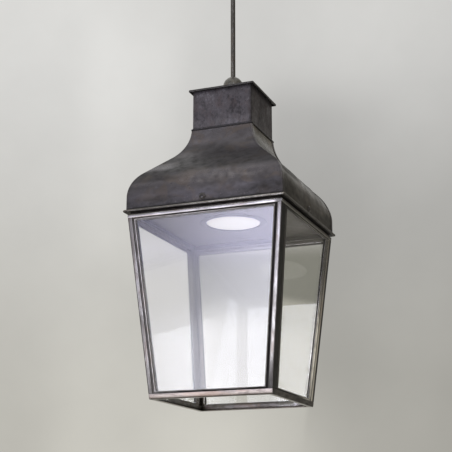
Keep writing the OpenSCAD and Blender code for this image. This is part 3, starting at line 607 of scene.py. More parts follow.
v[:, 1] += np.where(face_x, 0, np.sign(v[:, 1]) * depth)
# painted shade: darker near the corners, under the lid and over the right-hand face
dark = 0.42 * smooth01(np.abs(np.abs(v[:, 0]) - np.abs(v[:, 1])), 9.0, 1.5) + 0.35 * smooth01(v[:, 2], 262, 273) + 0.22 * (v[:, 0] > 62.5)
# painted sheen: the lower part of the walls is lighter
w = np.maximum(w, (0.75 * smooth01(-v[:, 2], -218, -200)).reshape(w.shape))
v[:, 2] += ZF
piece("chimney_walls", v, grid_faces(len(prof), 4 * 31, True, True), "lantern", chimney_metal, ["chimney_box"], wear_and_sheen=w.reshape(-1), grime_and_shade=dark)

prof, worn = rounded([(64.27, 187.5), (67.0, 187.5), (67.0, 191.2), (65.05, 191.2), (65.05, 193.3), (64.27, 193.3)], [0, 1.5, 1.7, 0.3, 0.3, 0], guard=0.5, arc=6)
worn = np.where(prof[:, 0] > 65.6, worn, worn * 0.3)
v, f, w = square_ring(prof, worn, lambda h: 1.6 if h > 65.5 else 1.4, steps=26, wave=0.06, size=30, seed=31)
# painted shade over the bead's underside
dark = 0.9 * smooth01(-(v[:, 2] - ZF), -190.2, -188.8)
piece("chimney_foot_bead", v, f, "lantern", bead_metal, ["chimney_bead"], wear_and_sheen=w, grime_and_shade=dark)


def lid():
    """Pan with a turned-down rim, holed for the rod."""
    steps, arc = 20, 5
    n = 4 * (steps + arc)
    rows = []

    def loop(size, square, z, corner, wear_and_sheen):
        sq = square_loop(size, corner, steps, arc)
        a = np.arctan2(sq[:, 1], sq[:, 0])
        ci = np.column_stack([np.cos(a), np.sin(a)]) * size
        xy = sq * square + ci * (1 - square)
        rows.append((np.column_stack([xy, np.full(len(xy), z)]), wear_and_sheen))

    top = [(5.25, 0.0), (9, 0.0), (16, 0.05), (26, 0.3), (38, 0.7), (50, 0.95), (60, 1), (67, 1), (69.6, 1)]
    for s, q in top:
        loop(s, q, 277.0 - 0.25 * smooth01(s, 30, 71), 1.8, 0.0)
    for k in range(6):
        t = math.radians(90 - 90 * k / 5)
        loop(70.5 + 0.9 * math.cos(t), 1, 275.85 + 0.9 * math.sin(t), 1.8, 1.0)
    loop(71.4, 1, 275.0, 1.8, 0.1)
    loop(71.4, 1, 273.8, 1.8, 0.1)
    for k in range(5):
        t = math.radians(-90 * k / 4)
        loop(70.8 + 0.6 * math.cos(t), 1, 273.2 + 0.6 * math.sin(t), 1.8, 1.0)
    loop(70.0, 1, 272.7, 1.6, 0.2)
    loop(70.0, 1, 275.5, 1.6, 0.0)
    for s, q in top[::-1][1:]:
        loop(s if s > 9 else s, q, 275.55, 1.6, 0.0)
    v = np.array([r[0] for r in rows])
    w = np.concatenate([np.full(v.shape[1], r[1]) for r in rows])
    nu, nv = v.shape[:2]
    v = v.reshape(-1, 3)
    v[:, 2] += 0.12 * ripple(v * np.array([1, 1, 0.05]), 55, 41) * smooth01(np.hypot(v[:, 0], v[:, 1]), 30, 60)
    v[:, 2] += ZF
    return v, grid_faces(nu, nv, True, True), w


v, f, w = lid()
piece("chimney_lid_pan", v, f, "lantern", lid_metal, ["chimney_lid"], wear_and_sheen=w)

# ------------------------------------------------------------- cap and rod

cap = [(5.15, 45.0)]
cap = []
for t in np.linspace(math.asin(5.1 / 21.0), math.pi / 2, 26):
    cap.append((21.0 * math.sin(t), 24 + 21.0 * math.cos(t)))
cap += [(21.0, z) for z in (22, 18, 14, 10, 7, 5)]
cap += [(21.0, 3.6), (21.4, 3.45), (22.6, 3.4)]
for t in np.linspace(math.pi / 2, -0.2, 7):
    cap.append((22.6 + 1.4 * math.cos(t), 2.0 + 1.4 * math.sin(t)))
cap += [(24.0, 1.2), (24.0, 0.3), (23.7, 0.02), (19.4, 0.02)]
cap += [(19.4, z) for z in (6, 12, 18, 24)]
for t in np.linspace(math.pi / 2, math.asin(5.1 / 19.4), 20):
    cap.append((19.4 * math.sin(t), 24 + 19.4 * math.cos(t)))
v, f = lathe(cap, 96, True, ZF + 277.0)
w = np.zeros((len(cap), 96))
w[35:42, :] = 0.7
piece("cap_dome", v, f, "lantern", cap_metal, ["dome_cap"], wear_and_sheen=w.reshape(-1))

zs = np.linspace(-351.0, -29.95, 60)
rod = [(4.05, z) for z in zs[::-1]] + [(4.9, -351.0), (5.0, -350.6)] + [(5.0, z) for z in zs[1:-1]] + [(5.0, -29.95)]
v, f = lathe(rod, 48)
piece("hanging_rod", v, f, "lantern", rod_metal, ["suspension_rod"])

# ------------------------------------------------------------- ceiling end

rose = [(20.2, -25.75), (20.2, -27.0), (26, -27.0), (34, -27.0), (42, -27.0), (49.0, -27.0)]
for t in np.linspace(-math.pi / 2, 0, 12)[1:]:
    rose.append((49.0 + 9 * math.cos(t), -18.0 + 9 * math.sin(t)))
rose += [(58.0, -12), (58.0, -6), (58.0, -2.6), (58.0, -1.2), (58.0, -0.3), (57.7, 0), (56.9, 0), (56.7, -0.3), (56.7, -1.2), (56.7, -2.6), (56.7, -10)]
for t in np.linspace(0, -math.pi / 2, 10):
    rose.append((49.0 + 7.7 * math.cos(t), -18.0 + 7.7 * math.sin(t)))
rose += [(40, -25.7), (30, -25.7)]
v, f = lathe(rose, 128)
rim = np.zeros((len(rose), 128))
rim[21:24] = 0.8
piece("rose_cover", v, f, "ceiling_mount", roof_metal, ["ceiling_rose"], wear_and_sheen=rim.reshape(-1))

# --------------------------------------------------------- skirt screws


def screw_head(radius=6.8, height=3.2, dome=10.0, slot=0.6, depth=1.0):
    """A slotted dome head, standing on z = 0 with its slot along y."""
    xs = np.concatenate([np.linspace(-radius, -slot, 15), [-slot, 0.0, slot], np.linspace(slot, radius, 15)])
    floor = np.array([False] * 15 + [True] * 3 + [False] * 15)
    m = 17
    top, wear_and_sheen = [], []
    for x, low in zip(xs, floor):
        reach = math.sqrt(max(radius * radius - x * x, 0))
        for t in np.linspace(-1, 1, m):
            y = reach * math.sin(t * math.pi / 2)
            r = math.hypot(x, y)
            z = height - dome + math.sqrt(max(dome * dome - r * r, 0))
            if low:
                z = min(z, height - depth)
            top.append((x, y, z))
            wear_and_sheen.append(0.0 if low else 0.2 + 0.6 * float(smooth01(r, 4.6, 6.6)))
    n = len(xs)
    faces = grid_faces(n, m, False, False)
    # rim wall down to the sheet
    ring = [i * m for i in range(n)] + [(n - 1) * m + j for j in range(1, m)] + [i * m + m - 1 for i in range(n - 2, -1, -1)] + [j for j in range(m - 2, 0, -1)]
    base = len(top)
    pts = list(top)
    for i in ring:
        pts.append((top[i][0], top[i][1], 0.0))
        wear_and_sheen.append(0.0)
    k = len(ring)
    for i in range(k):
        faces.append((ring[i], ring[(i + 1) % k], base + (i + 1) % k, base + i))
    pts.append((0, 0, 0))
    wear_and_sheen.append(0.0)
    for i in range(k):
        faces.append((base + i, base + (i + 1) % k, base + k))
    return np.array(pts), faces, np.array(wear_and_sheen)


def all_screws():
    verts, faces, wear_and_sheen, at = [], [], [], 0
    rng = np.random.default_rng(7)
    hp, hf, hw = screw_head()
    for q in range(4):
        lift = 0.8 if q % 2 == 0 else 0.0
        for x in (0.0,):
            a = rng.uniform(0, math.pi)
            tilt = rng.uniform(-0.03, 0.03, 2)
            p = hp.copy()
            p = np.column_stack([p[:, 0] * math.cos(a) - p[:, 1] * math.sin(a), p[:, 0] * math.sin(a) + p[:, 1] * math.cos(a), p[:, 2]])
            p[:, 2] = np.where(p[:, 2] > 0.01, p[:, 2] + (p[:, 0] * tilt[0] + p[:, 1] * tilt[1]) * 0.6, p[:, 2])
            # the head faces outwards on the front: its z becomes -Y
            front = np.column_stack([x + p[:, 0], -(162.2 + lift + 0.03) - p[:, 2], 13.5 + p[:, 1]])
            c, s = math.cos(math.radians(90 * q)), math.sin(math.radians(90 * q))
            w = np.column_stack([front[:, 0] * c - front[:, 1] * s, front[:, 0] * s + front[:, 1] * c, front[:, 2] + ZF])
            verts.append(w)
            faces += [tuple(i + at for i in fc) for fc in hf]
            wear_and_sheen.append(hw)
            at += len(w)
    return np.concatenate(verts), faces, np.concatenate(wear_and_sheen)


v, f, w = all_screws()
piece("skirt_screws", v, f, "lantern", screw_metal, ["roof_screws"], wear_and_sheen=w, merge=0.001)

# ------------------------------------------------------------ glazed frame

TOP, FOOT, FT, FF = 160.8, 124.0, 6.2, 365.2
SIDE_H = FF - FT
LEAN = math.atan((TOP - FOOT) / SIDE_H)
SIDE_L = math.hypot(SIDE_H, TOP - FOOT)
HIP = math.sqrt(1 + ((TOP - FOOT) / SIDE_L) ** 2)


def half_at(y):
    return TOP - (TOP - FOOT) * y / SIDE_L


def on_side(x, y, d):
    """A point x along the front, y down its slope and d deep, in millimetres."""
    return np.column_stack([x, -TOP + y * math.sin(LEAN) + d * math.cos(LEAN), ZF - FT - y * math.cos(LEAN) + d * math.sin(LEAN)])


def turned(p, q):
    c, s = math.cos(math.radians(q)), math.sin(math.radians(q))
    return np.column_stack([p[:, 0] * c - p[:, 1] * s, p[:, 0] * s + p[:, 1] * c, p[:, 2]])


SIDES = (("front", 0), ("right", 90), ("back", 180), ("left", 270))


def crown(prof, lo, hi, depth, axis, half=False):
    """Rolls a flat outer face a little: its edges lie deeper than its middle. A half crown keeps
    the edge at lo where it is."""
    along, deep = (prof[:, 0], prof[:, 1]) if axis == 0 else (prof[:, 1], prof[:, 0])
    t = np.clip((along - (lo + hi) / 2) / ((hi - lo) / 2), 0 if half else -1, 1)
    near = smooth01(-deep, -1.2, -0.2)
    move = depth * t**2 * near
    out = prof.copy()
    out[:, 1 - axis] += move
    return out


def post(q, seed, side_leg_shade):
    """Angle-section post on the hip between one side and the next anticlockwise."""
    wa, wb = (9.0, 19.0) if q % 180 == 0 else (19.0, 9.0)
    outline = [(0, 0), (wa, 0), (wa, 1.5), (1.5, 1.5), (1.5, wb), (0, wb)]
    prof, worn = rounded(outline, [0.45, 0.5, 0.45, 0.5, 0.45, 0.5], guard=1.0, arc=5, longest=0.8)
    side_leg = prof[:, 0] < 1.4 if wb > wa else prof[:, 1] < 1.4
    edge = np.minimum(prof[:, 0], prof[:, 1])
    # painted shade on the side leg's outer face, near black on the front right post
    grime_and_shade = np.where(side_leg & (np.maximum(prof[:, 0], prof[:, 1]) > 0.6) & (edge < 0.6), side_leg_shade, 0.0)
    front_leg = prof[:, 1] < 0.4 if wb > wa else prof[:, 0] < 0.4
    grime_and_shade = np.where(front_leg, 0.0, grime_and_shade)
    inner = edge > 1.0
    grime_and_shade = np.where(inner, 0.06, grime_and_shade)
    # painted shade in the groove at each leg's free edge
    tip = (np.maximum(prof[:, 0], prof[:, 1]) > np.where(side_leg, 18.2, 8.2)) & (edge < 1.2)
    grime_and_shade = np.where(tip, np.maximum(grime_and_shade, 0.6), grime_and_shade)
    prof = crown(prof, 0.0, wa, 0.34, 0, half=True)
    prof = crown(prof, 0.0, wb, 0.34, 1, half=True)
    # the hip's line and the two directions across it, for the front right hip
    top = np.array([TOP, -TOP, ZF - FT])
    foot = np.array([FOOT, -FOOT, ZF - FF])
    run = (foot - top) / np.linalg.norm(foot - top)
    a = np.array([-1.0, 0, 0])
    a = a - run * (a @ run)
    a /= np.linalg.norm(a)
    b = np.array([0, 1.0, 0])
    b = b - run * (b @ run)
    b /= np.linalg.norm(b)
    # painted shade along the outer hip, broad on the back right post; by the last two amounts the outer faces are
    # darker towards the foot and on the front leg
    hip_shade_level, foot_darkening, front_darkening = {0: (0.72, 0.75, 0.12), 90: (0.95, 0.0, 0.0), 180: (0.0, 0.0, 0.0), 270: (0.75, 0.35, 0.32)}[q]
    outer = edge < 0.6
    hip_shade = hip_shade_level * smooth01(np.maximum(prof[:, 0], prof[:, 1]), 13.0 if q == 90 else 2.6, 8.0 if q == 90 else 1.2) * outer
    grime_and_shade = np.where(front_leg & outer, np.maximum(grime_and_shade, front_darkening), grime_and_shade)
    steps = 70
    z_top = ZF - FT - 7.0 * math.cos(LEAN) - 0.05
    z_foot = ZF - FF + 10.6 * math.cos(LEAN) + 0.2
    rows = []
    for t in np.linspace(0, 1, steps):
        z = z_top + (z_foot - z_top) * t
        across = prof[:, :1] * a + prof[:, 1:] * b
        base = top + across
        k = (z - base[:, 2]) / run[2]
        rows.append(base + k[:, None] * run)
    v = np.array(rows)
    centre = v.mean(1, keepdims=True)
    ends = smooth01(np.linspace(0, 1, steps), 0, 0.06) * smooth01(1 - np.linspace(0, 1, steps), 0, 0.06)
    wave = 0.06 * ripple(centre.reshape(-1, 3), 60, seed) * ends
    away = smooth01(np.maximum(prof[:, 0], prof[:, 1]), 0.5, 7.0)
    v = v + (wave[:, None] * away[None, :])[:, :, None] * (a + b)
    n = len(prof)
    v = v.reshape(-1, 3)
    faces = grid_faces(steps, n, False, True)
    faces.append(tuple(range(n)))
    faces.append(tuple((steps - 1) * n + i for i in range(n)))
    down = np.repeat(np.linspace(0, 1, steps), n)
    dirt_and_shade = np.maximum(np.tile(grime_and_shade, steps), np.tile(hip_shade, steps))
    dirt_and_shade = np.maximum(dirt_and_shade, foot_darkening * smooth01(down, 0.74, 1.0) * np.tile(outer, steps))
    shine = np.tile(worn, steps) * (1 - 0.8 * np.tile(hip_shade, steps) / 0.75)
    return turned(v, q), faces, shine, dirt_and_shade


for name, q, leg in (("front_right", 0, 1.0), ("back_right", 90, 0.0), ("back_left", 180, 0.5), ("front_left", 270, 0.6)):
    v, f, w, d = post(q, 60 + q, leg)
    piece("corner_post_" + name, v, f, "lantern", painted_lit_post_metal if name == "back_right" else post_metal, ["post_" + name], wear_and_sheen=w, grime_and_shade=d)


def rail(q, top, seed):
    """Angle-section rail, mitred at both hips: an upright face and a level leg."""
    wide = 7.0 if top else 10.6
    if top:
        lo, hi = 0.1, wide
        outline = [(lo, 0.0), (wide, 0.0), (wide, 1.5), (1.6, 1.5), (1.6, 8.5), (lo, 8.5)]
    else:
        lo, hi = SIDE_L - wide, SIDE_L - 0.02
        outline = [(lo, 0.0), (hi, 0.0), (hi, 8.5), (SIDE_L - 1.5, 8.5), (SIDE_L - 1.5, 1.5), (lo, 1.5)]
    prof, worn = rounded(outline, [0.6, 0.6 if top else 1.3, 0.6, 0.6, 0.6, 0.6], guard=1.0, arc=4, longest=0.8)
    grime_and_shade = np.zeros(len(prof))
    if not top:
        # painted shade along the foot rail's lower outer edge, where its rubbed shine is taken away
        low = smooth01(prof[:, 0], hi - 1.7, hi - 0.5) * smooth01(prof[:, 1], 1.2, 0.6)
        grime_and_shade = 0.7 * low
        worn = worn * (1 - low)
    # painted shade on the inner edge beside the glazing groove
    if top:
        grime_and_shade = np.where((prof[:, 0] > wide - 0.5) & (prof[:, 1] > 0.3), 0.8, grime_and_shade)
    else:
        grime_and_shade = np.where((prof[:, 0] < lo + 0.5) & (prof[:, 1] > 0.3), 0.8, grime_and_shade)
    prof = crown(prof, lo, hi, 0.30, 0)
    # level leg: shear its deep part so that it lies flat although the face leans
    deep = np.maximum(prof[:, 1] - 1.5, 0)
    y = prof[:, 0] + deep * math.tan(LEAN)
    if not top:
        y = np.minimum(y, SIDE_L - 0.02 + prof[:, 1] * math.tan(LEAN))
    steps = 60
    reach = TOP - y * math.sin(LEAN) - prof[:, 1] * math.cos(LEAN) - 0.06
    rows = [on_side(reach * t, y, prof[:, 1]) for t in np.linspace(-1, 1, steps)]
    v = np.array(rows)
    ends = smooth01(1 - np.abs(np.linspace(-1, 1, steps)), 0, 0.08)
    wave = 0.09 * ripple(v.mean(1), 55, seed) * ends
    v[:, :, 1] += wave[:, None]
    v[:, :, 2] += 0.6 * wave[:, None]
    n = len(prof)
    v = v.reshape(-1, 3)
    if top:
        v[:, 2] = np.minimum(v[:, 2], ZF - FT - 0.03)
    else:
        v[:, 2] = np.maximum(v[:, 2], ZF - FF + 0.02)
    faces = grid_faces(steps, n, False, True)
    faces.append(tuple(range(n)))
    faces.append(tuple((steps - 1) * n + i for i in range(n)))
    # darker at the mitred ends; on the front top rail's right end this is a painted shadow
    corner = np.repeat(smooth01(np.abs(np.linspace(-1, 1, steps)), 0.965, 0.985), n) * 0.25
    if top and q == 0:
        corner = np.maximum(corner, 0.72 * np.repeat(smooth01(np.linspace(-1, 1, steps), 0.90, 0.955), n))
    dirt_and_shade = np.maximum(np.tile(grime_and_shade, steps), corner)
    # painted shade on the outer faces of the right side's rails
    if q == 90:
        dirt_and_shade = np.maximum(dirt_and_shade, np.tile(prof[:, 1] < 0.8, steps) * (0.45 if top else 0.86))
    shine = np.tile(worn, steps)
    # painted highlight: the front foot rail's face lightens towards the right
    if q == 0 and not top:
        shine = np.maximum(shine, 0.36 * smooth01(v[:, 0], -70, 70) * np.tile(prof[:, 1] < 0.8, steps))
    return turned(v, q), faces, shine, dirt_and_shade


for name, q in SIDES:
    v, f, w, d = rail(q, True, 80 + q)
    piece("upper_rail_" + name, v, f, "lantern", rail_metal, ["top_rail_" + name], wear_and_sheen=w, grime_and_shade=d)
    v, f, w, d = rail(q, False, 180 + q)
    piece("lower_rail_" + name, v, f, "lantern", sill_metal, ["foot_rail_" + name], wear_and_sheen=w, grime_and_shade=d)


def side_ring(profile, q, steps=30, wave=0.0, seed=3):
    """A closed profile of (inset at the hips, at the top, at the foot, depth) run round a side."""
    rows = []
    for s, t, f, d in profile:
        corners = [
            (-half_at(t) + s * HIP, t),
            (half_at(t) - s * HIP, t),
            (half_at(SIDE_L - f) - s * HIP, SIDE_L - f),
            (-half_at(SIDE_L - f) + s * HIP, SIDE_L - f),
        ]
        line = []
        for k in range(4):
            a, b = corners[k], corners[(k + 1) % 4]
            for u in np.linspace(0, 1, steps, endpoint=False):
                line.append((a[0] + (b[0] - a[0]) * u, a[1] + (b[1] - a[1]) * u, d))
        rows.append(line)
    v = np.array(rows)
    nu, nv = v.shape[:2]
    v = v.reshape(-1, 3)
    if wave:
        v[:, 2] += wave * ripple(v * np.array([1, 1, 0.1]), 45, seed)
    return turned(on_side(v[:, 0], v[:, 1], v[:, 2]), q), grid_faces(nu, nv, True, True)


def glazing_profile(q):
    """Channel round the pane with a soft bead in front, as (s, t, f, depth, wear and painted sheen, painted shade).
    The bead by the posts is wide and flat on the left and right sides, narrow and round on the others."""
    d = 1.52
    g = 3.0
    wide = q % 180 == 90
    s1, s2 = (20.5, 34.0) if wide else (12.0, 15.5)
    t1, t2, f1, f2 = 8.8, 11.4, 13.0, 14.4
    out = [(7.0, 3.0, 3.5, d + 0.15, 0, 0.97), (7.15, 3.15, 3.65, d, 0, 0.97)]
    out += [(s1 - 0.4, t1 - 0.3, f1 - 0.3, d, 0.0, 0.97)]
    shares = (0.0, 0.03, 0.06, 0.1, 0.3, 0.5, 0.7, 0.9, 0.94, 0.97, 1.0) if wide else [0.5 - 0.5 * math.cos(math.pi * k / 8) for k in range(9)]
    for share in shares:
        lift = min(1.0, 4 * share * (1 - share)) ** (0.22 if wide else 0.45)
        # painted shade: near black on the channel floor and the bead's inner wall, and on the groove's half of a
        # narrow bead
        dirt_and_shade = 0.97 if share < 0.01 else 0.9 if share > 0.99 else 0.0 if wide else 0.8 * float(smooth01(share, 0.55, 0.08))
        out.append((s1 + (s2 - s1) * share, t1 + (t2 - t1) * share, f1 + (f2 - f1) * share, d - 1.2 * lift, 0.25 if 0.1 < share < 0.9 else 0.06, dirt_and_shade))
    # painted sheen on the lip, by side: strongest on the front, none on the right
    lip_sheen = {0: 1.0, 90: 0.0, 180: 0.55, 270: 0.25}[q]
    out += [(s2, t2, f2, d + 0.9, 0.3, 0.6), (s2 - 0.1, t2 - 0.1, f2 - 0.1, d + 1.0, lip_sheen, 0.0)]
    out += [(8.5, 4.5, 5.0, d + 1.0, lip_sheen, 0.0), (8.5, 4.5, 5.0, d + 1.0 + g + 0.04, lip_sheen, 0.0)]
    for inset, deep in ((1.1, 1.04), (1.0, 1.14), (1.0, 1.94), (1.2, 2.04)):
        out.append((s2 - inset, t2 - inset, f2 - inset, d + deep + g, lip_sheen, 0.0))
    # a little painted sheen on the back frame's rear edge
    back = 0.3 if q == 180 else 0.0
    out += [(7.2, 3.2, 3.7, d + 2.04 + g, back, 0.0), (7.0, 3.0, 3.5, d + 1.9 + g, back, 0.2)]
    return out


for name, q in SIDES:
    prof = glazing_profile(q)
    v, f = side_ring([p[:4] for p in prof], q, 30, 0.05, 200 + q)
    w = np.repeat([p[4] for p in prof], 4 * 30)
    d = np.repeat([p[5] for p in prof], 4 * 30)
    if name == "right":
        # painted shade at the right frame's front end; towards its far end the shade gives way to a painted highlight
        # over its middle and lower part
        d = np.maximum(d, 0.85 * smooth01(-v[:, 1], 20, 100) * (d < 0.5))
        far = smooth01(v[:, 1], 20, 90)
        fall = (ZF - FT - v[:, 2]) / (FF - FT)
        gleam = smooth01(fall, 0.22, 0.62) * (1 - 0.55 * smooth01(fall, 0.74, 0.95))
        d = np.maximum(d * (1 - far * np.minimum(1, 0.3 + gleam)), 0.30 * far * smooth01(gleam, 0.4, 0.0))
        w = w * (1 - far) + far * 1.2 * gleam
    if name in ("back", "left"):
        # darker towards the foot, without rubbed shine there
        low = smooth01((ZF - FT - v[:, 2]) / (FF - FT), 0.93, 0.965)
        w = w * (1 - low)
        d = np.maximum(d, 0.35 * low)
    if name == "front":
        # the painted shade on the front frame is lighter towards its left end
        d = d * (1 - 0.3 * smooth01(-v[:, 0], 60, 100))
        # painted shade: the bead by the right post is darker on the groove's side
        share = (np.repeat([p[0] for p in prof], 4 * 30) - 12.0) / 3.5
        d = np.maximum(d, 0.95 * smooth01(v[:, 0], 60, 100) * smooth01(share, 0.78, 0.5) * (np.repeat([p[3] for p in prof], 4 * 30) < 1.5) * (share > 0))
    piece("pane_frame_" + name, v, f, "lantern", bead_bronze, ["glazing_" + name], wear_and_sheen=w * 0.7, grime_and_shade=d)

# ------------------------------------------------------------------- lamp

ring = [(56.6, 2.45), (56.6, -0.3)]
for t in np.linspace(180, 270, 6):
    ring.append((57.4 + 0.8 * math.cos(math.radians(t)), -0.2 + 0.8 * math.sin(math.radians(t))))
ring += [(60.5, -1.0), (63.0, -1.0), (64.4, -0.95), (66.2, -0.2), (67.6, 0.6), (68.3, 1.2), (68.5, 1.8), (68.5, 2.45), (62.0, 2.45)]
v, f = lathe(ring, 128, True, ZF)
w = np.zeros((len(ring), 128))
w[3:7] = 0.5
piece("lamp_trim", v, f, "lantern", ring_metal, ["trim_ring"], wear_and_sheen=w.reshape(-1))

disc = [(0.0, 0.0), (12, 0.02), (24, 0.09), (36, 0.2), (43.5, 0.3), (49, 0.75), (52.5, 1.2), (54.4, 1.7), (55.05, 2.3), (55.1, 2.95), (52.5, 2.98), (52.45, 5.9), (50.5, 5.9), (50.5, 3.4), (43.5, 2.5), (20, 2.25), (0.0, 2.2)]
v, f = lathe(disc, 128, False, ZF)
piece("lamp_disc", v, f, "lamp", opal, ["lamp_diffuser"], merge=0.002)

# ------------------------------------- CAD nodes whose shape is already right


def dress(node, material, bevel=0.0):
    o = frame["nodes"][node]
    o.data.materials.clear()
    o.data.materials.append(material)
    if bevel:
        b = o.modifiers.new("soft_edges", "BEVEL")
        b.width = bevel * MM
        b.segments = 2
        b.limit_method = "ANGLE"
        b.angle_limit = math.radians(40)
        b.harden_normals = False
    return o


for name, q in SIDES:
    dress("glass_" + name, glass)
    dress("seal_" + name, rubber)
for node, material, bevel in (
    ("ceiling_bracket", steel, 0.3),
    ("swivel_socket", ledge_metal, 0.25),
    ("swivel_pins", steel, 0.0),
    ("swivel_ball", ledge_metal, 0.0),
    ("socket_ring_nut", ledge_metal, 0.2),
    ("terminal_block", plastic, 0.3),
    ("earth_screw", brass, 0.0),
    ("rod_nuts", steel, 0.2),
    ("rod_washers", steel, 0.0),
    ("hanger_plate", brass, 0.0),
    ("roof_curb", ledge_metal, 0.0),
    ("reflector_plate", plate_metal, 0.0),
    ("lamp_bracket", steel, 0.2),
    ("lamp_holder", ceramic, 0.0),
    ("holder_screws", steel, 0.0),
    ("lamp_body", lamp_shell, 0.0),
    ("lamp_pins", steel, 0.0),
):
    dress(node, material, bevel)

# -------------------------------------------------------------------- stage


def stage_quad(name, centre, normal, up, width, height, material, camera=True):
    n = Vector(normal).normalized()
    v = Vector(up) - n * Vector(up).dot(n)
    v.normalize()
    u = v.cross(n)
    me = bpy.data.meshes.new(name)
    me.from_pydata([(-width / 2, -height / 2, 0), (width / 2, -height / 2, 0), (width / 2, height / 2, 0), (-width / 2, height / 2, 0)], [], [(0, 1, 2, 3)])
    me.materials.append(material)
    o = bpy.data.objects.new(name, me)
    bpy.context.scene.collection.objects.link(o)
    m = o.matrix_world
    for i, a in enumerate((u, v, n)):
        for k in range(3):
            m[k][i] = a[k]
    for k in range(3):
        m[k][3] = centre[k]
    o.matrix_world = m
    o.visible_camera = camera
    o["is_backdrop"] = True
    return o


def floor_material():
    m, g = new_material("pale_floor")
    n = g.noise(0.7, 4, 0.5)
    base = g.mix(n, (0.60, 0.59, 0.56), (0.66, 0.65, 0.62))
    s = g.node("ShaderNodeBsdfPrincipled", {"Base Color": base, "Roughness": 0.85, "Specular IOR Level": 0.1})
    out = g.node("ShaderNodeOutputMaterial")
    g.t.links.new(s.outputs[0], out.inputs[0])
    return m


stage_quad("floor", (0, 0, -3.6), (0, 0, 1), (0, 1, 0), 30, 30, floor_material())


def glow_out(g, colour, level, fade):
    """Light of a card, clear where it fades out."""
    e = g.node("ShaderNodeEmission", {"Color": colour, "Strength": level})
    clear = g.node("ShaderNodeBsdfTransparent")
    mixed = g.node("ShaderNodeMixShader")
    g.put(mixed.inputs[0], fade)
    g.t.links.new(clear.outputs[0], mixed.inputs[1])
    g.t.links.new(e.outputs[0], mixed.inputs[2])
    out = g.node("ShaderNodeOutputMaterial")
    g.t.links.new(mixed.outputs[0], out.inputs[0])


def window_material(middle):
    """A tall window: lavender and brighter to the right where it is high, white and even low down."""
    m, g = new_material("window_light")
    p = g.coords()
    xyz = g.node("ShaderNodeSeparateXYZ", {0: p})
    u, v = g.math("MULTIPLY", xyz.outputs[0], -1.0), g.math("ADD", xyz.outputs[1], middle)
    under = g.span(v, -0.14, -0.24)
    level = g.math("ADD", g.math("MULTIPLY", g.math("SUBTRACT", 1.0, under), g.span(u, -0.30, 0.40, 2.5, 7.5)), g.math("MULTIPLY", under, g.span(u, -0.20, 0.40, 3.6, 7.9)))
    level = g.math("MULTIPLY", level, g.span(v, -0.24, -0.34, 1.0, 0.90))
    low = g.span(v, -0.45, -0.72)
    level = g.math("ADD", g.math("MULTIPLY", level, g.math("SUBTRACT", 1.0, low)), g.math("MULTIPLY", low, g.math("MULTIPLY", g.span(u, -0.30, -0.05, 4.3, 5.7), g.span(u, 0.06, 0.16, 1.0, 1.08))))
    high = g.span(v, -0.03, 0.09)
    level = g.math("ADD", g.math("MULTIPLY", level, g.math("SUBTRACT", 1.0, high)), g.math("MULTIPLY", high, 1.1))
    fade = g.math("MULTIPLY", g.span(u, -0.95, -0.5), g.span(u, 0.95, 0.6))
    fade = g.math("MULTIPLY", fade, g.math("MULTIPLY", g.span(v, -1.35, -1.05), g.span(v, 0.36, 0.20)))
    colour = g.mix(g.span(v, -0.42, -0.2), (0.86, 0.86, 1.0), (0.76, 0.75, 1.0))
    glow_out(g, colour, level, fade)
    return m


def far_material(name, half_wide, half_high, top, left, right, soft, tilt, peaked):
    """A far window with soft edges, its level changing across it and its top edge tilted or peaked."""
    m, g = new_material(name)
    xyz = g.node("ShaderNodeSeparateXYZ", {0: g.coords()})
    across = g.math("MULTIPLY", xyz.outputs[0], -1.0)
    u, v = g.math("ABSOLUTE", across), xyz.outputs[1]
    rise = g.math("MULTIPLY", across, tilt)
    if peaked:
        rise = g.math("MULTIPLY", g.math("MAXIMUM", g.math("SUBTRACT", -0.24, across), 0.0), 1.05)
        rise = g.math("ADD", rise, g.math("MULTIPLY", g.math("MAXIMUM", g.math("SUBTRACT", across, 1.45), 0.0), 0.05))
    height = g.math("SUBTRACT", v, rise)
    fade = g.math("MULTIPLY", g.span(u, half_wide, half_wide * 0.6), g.span(height, top, top - soft))
    fade = g.math("MULTIPLY", fade, g.span(v, -half_high, -half_high * 0.7))
    if peaked:
        fade = g.math("MULTIPLY", fade, g.span(g.math("SUBTRACT", across, g.math("MULTIPLY", v, 0.125)), -1.24, -1.08))
    glow_out(g, (0.86, 0.88, 1.0, 1), g.span(across, 0.85, 1.25, left, right), fade)
    return m


def bearing(azimuth, elevation):
    """Direction from the lantern, azimuth from the front towards the right."""
    az, el = math.radians(azimuth), math.radians(elevation)
    return Vector((math.sin(az) * math.cos(el), -math.cos(az) * math.cos(el), math.sin(el)))


HEART = Vector((0, 0, -0.6))
toward = bearing(-22.0, 6.0)
card_up = (Vector((0, 0, 1)) - toward * toward.z).normalized()
stage_quad("window", HEART + toward * 3.3 + card_up * -0.4, -toward, (0, 0, 1), 2.0, 1.9, window_material(-0.4), camera=False)


def far_card(name, azimuth, sideways, height, half_wide, half_high, top, left, right, soft, tilt=0.0, peaked=False):
    """An upright card 28 m away, square to a bearing, its centre moved sideways and up."""
    out = bearing(azimuth, 0.0)
    az = math.radians(azimuth)
    centre = HEART + out * 28.0 + Vector((math.cos(az), math.sin(az), 0)) * sideways + Vector((0, 0, height))
    stage_quad(name, centre, -out, (0, 0, 1), 2 * half_wide, 2 * half_high, far_material(name + "_light", half_wide, half_high, top, left, right, soft, tilt, peaked), camera=False)


far_card("window_far", 5.0, -14.1, 10.80, 5.5, 3.2, 2.22, 2.5, 6.2, 0.22, peaked=True)
far_card("window_side", -14.0, 21.8, 14.80, 4.3, 3.2, 2.20, 9.4, 9.4, 0.14, tilt=0.175)


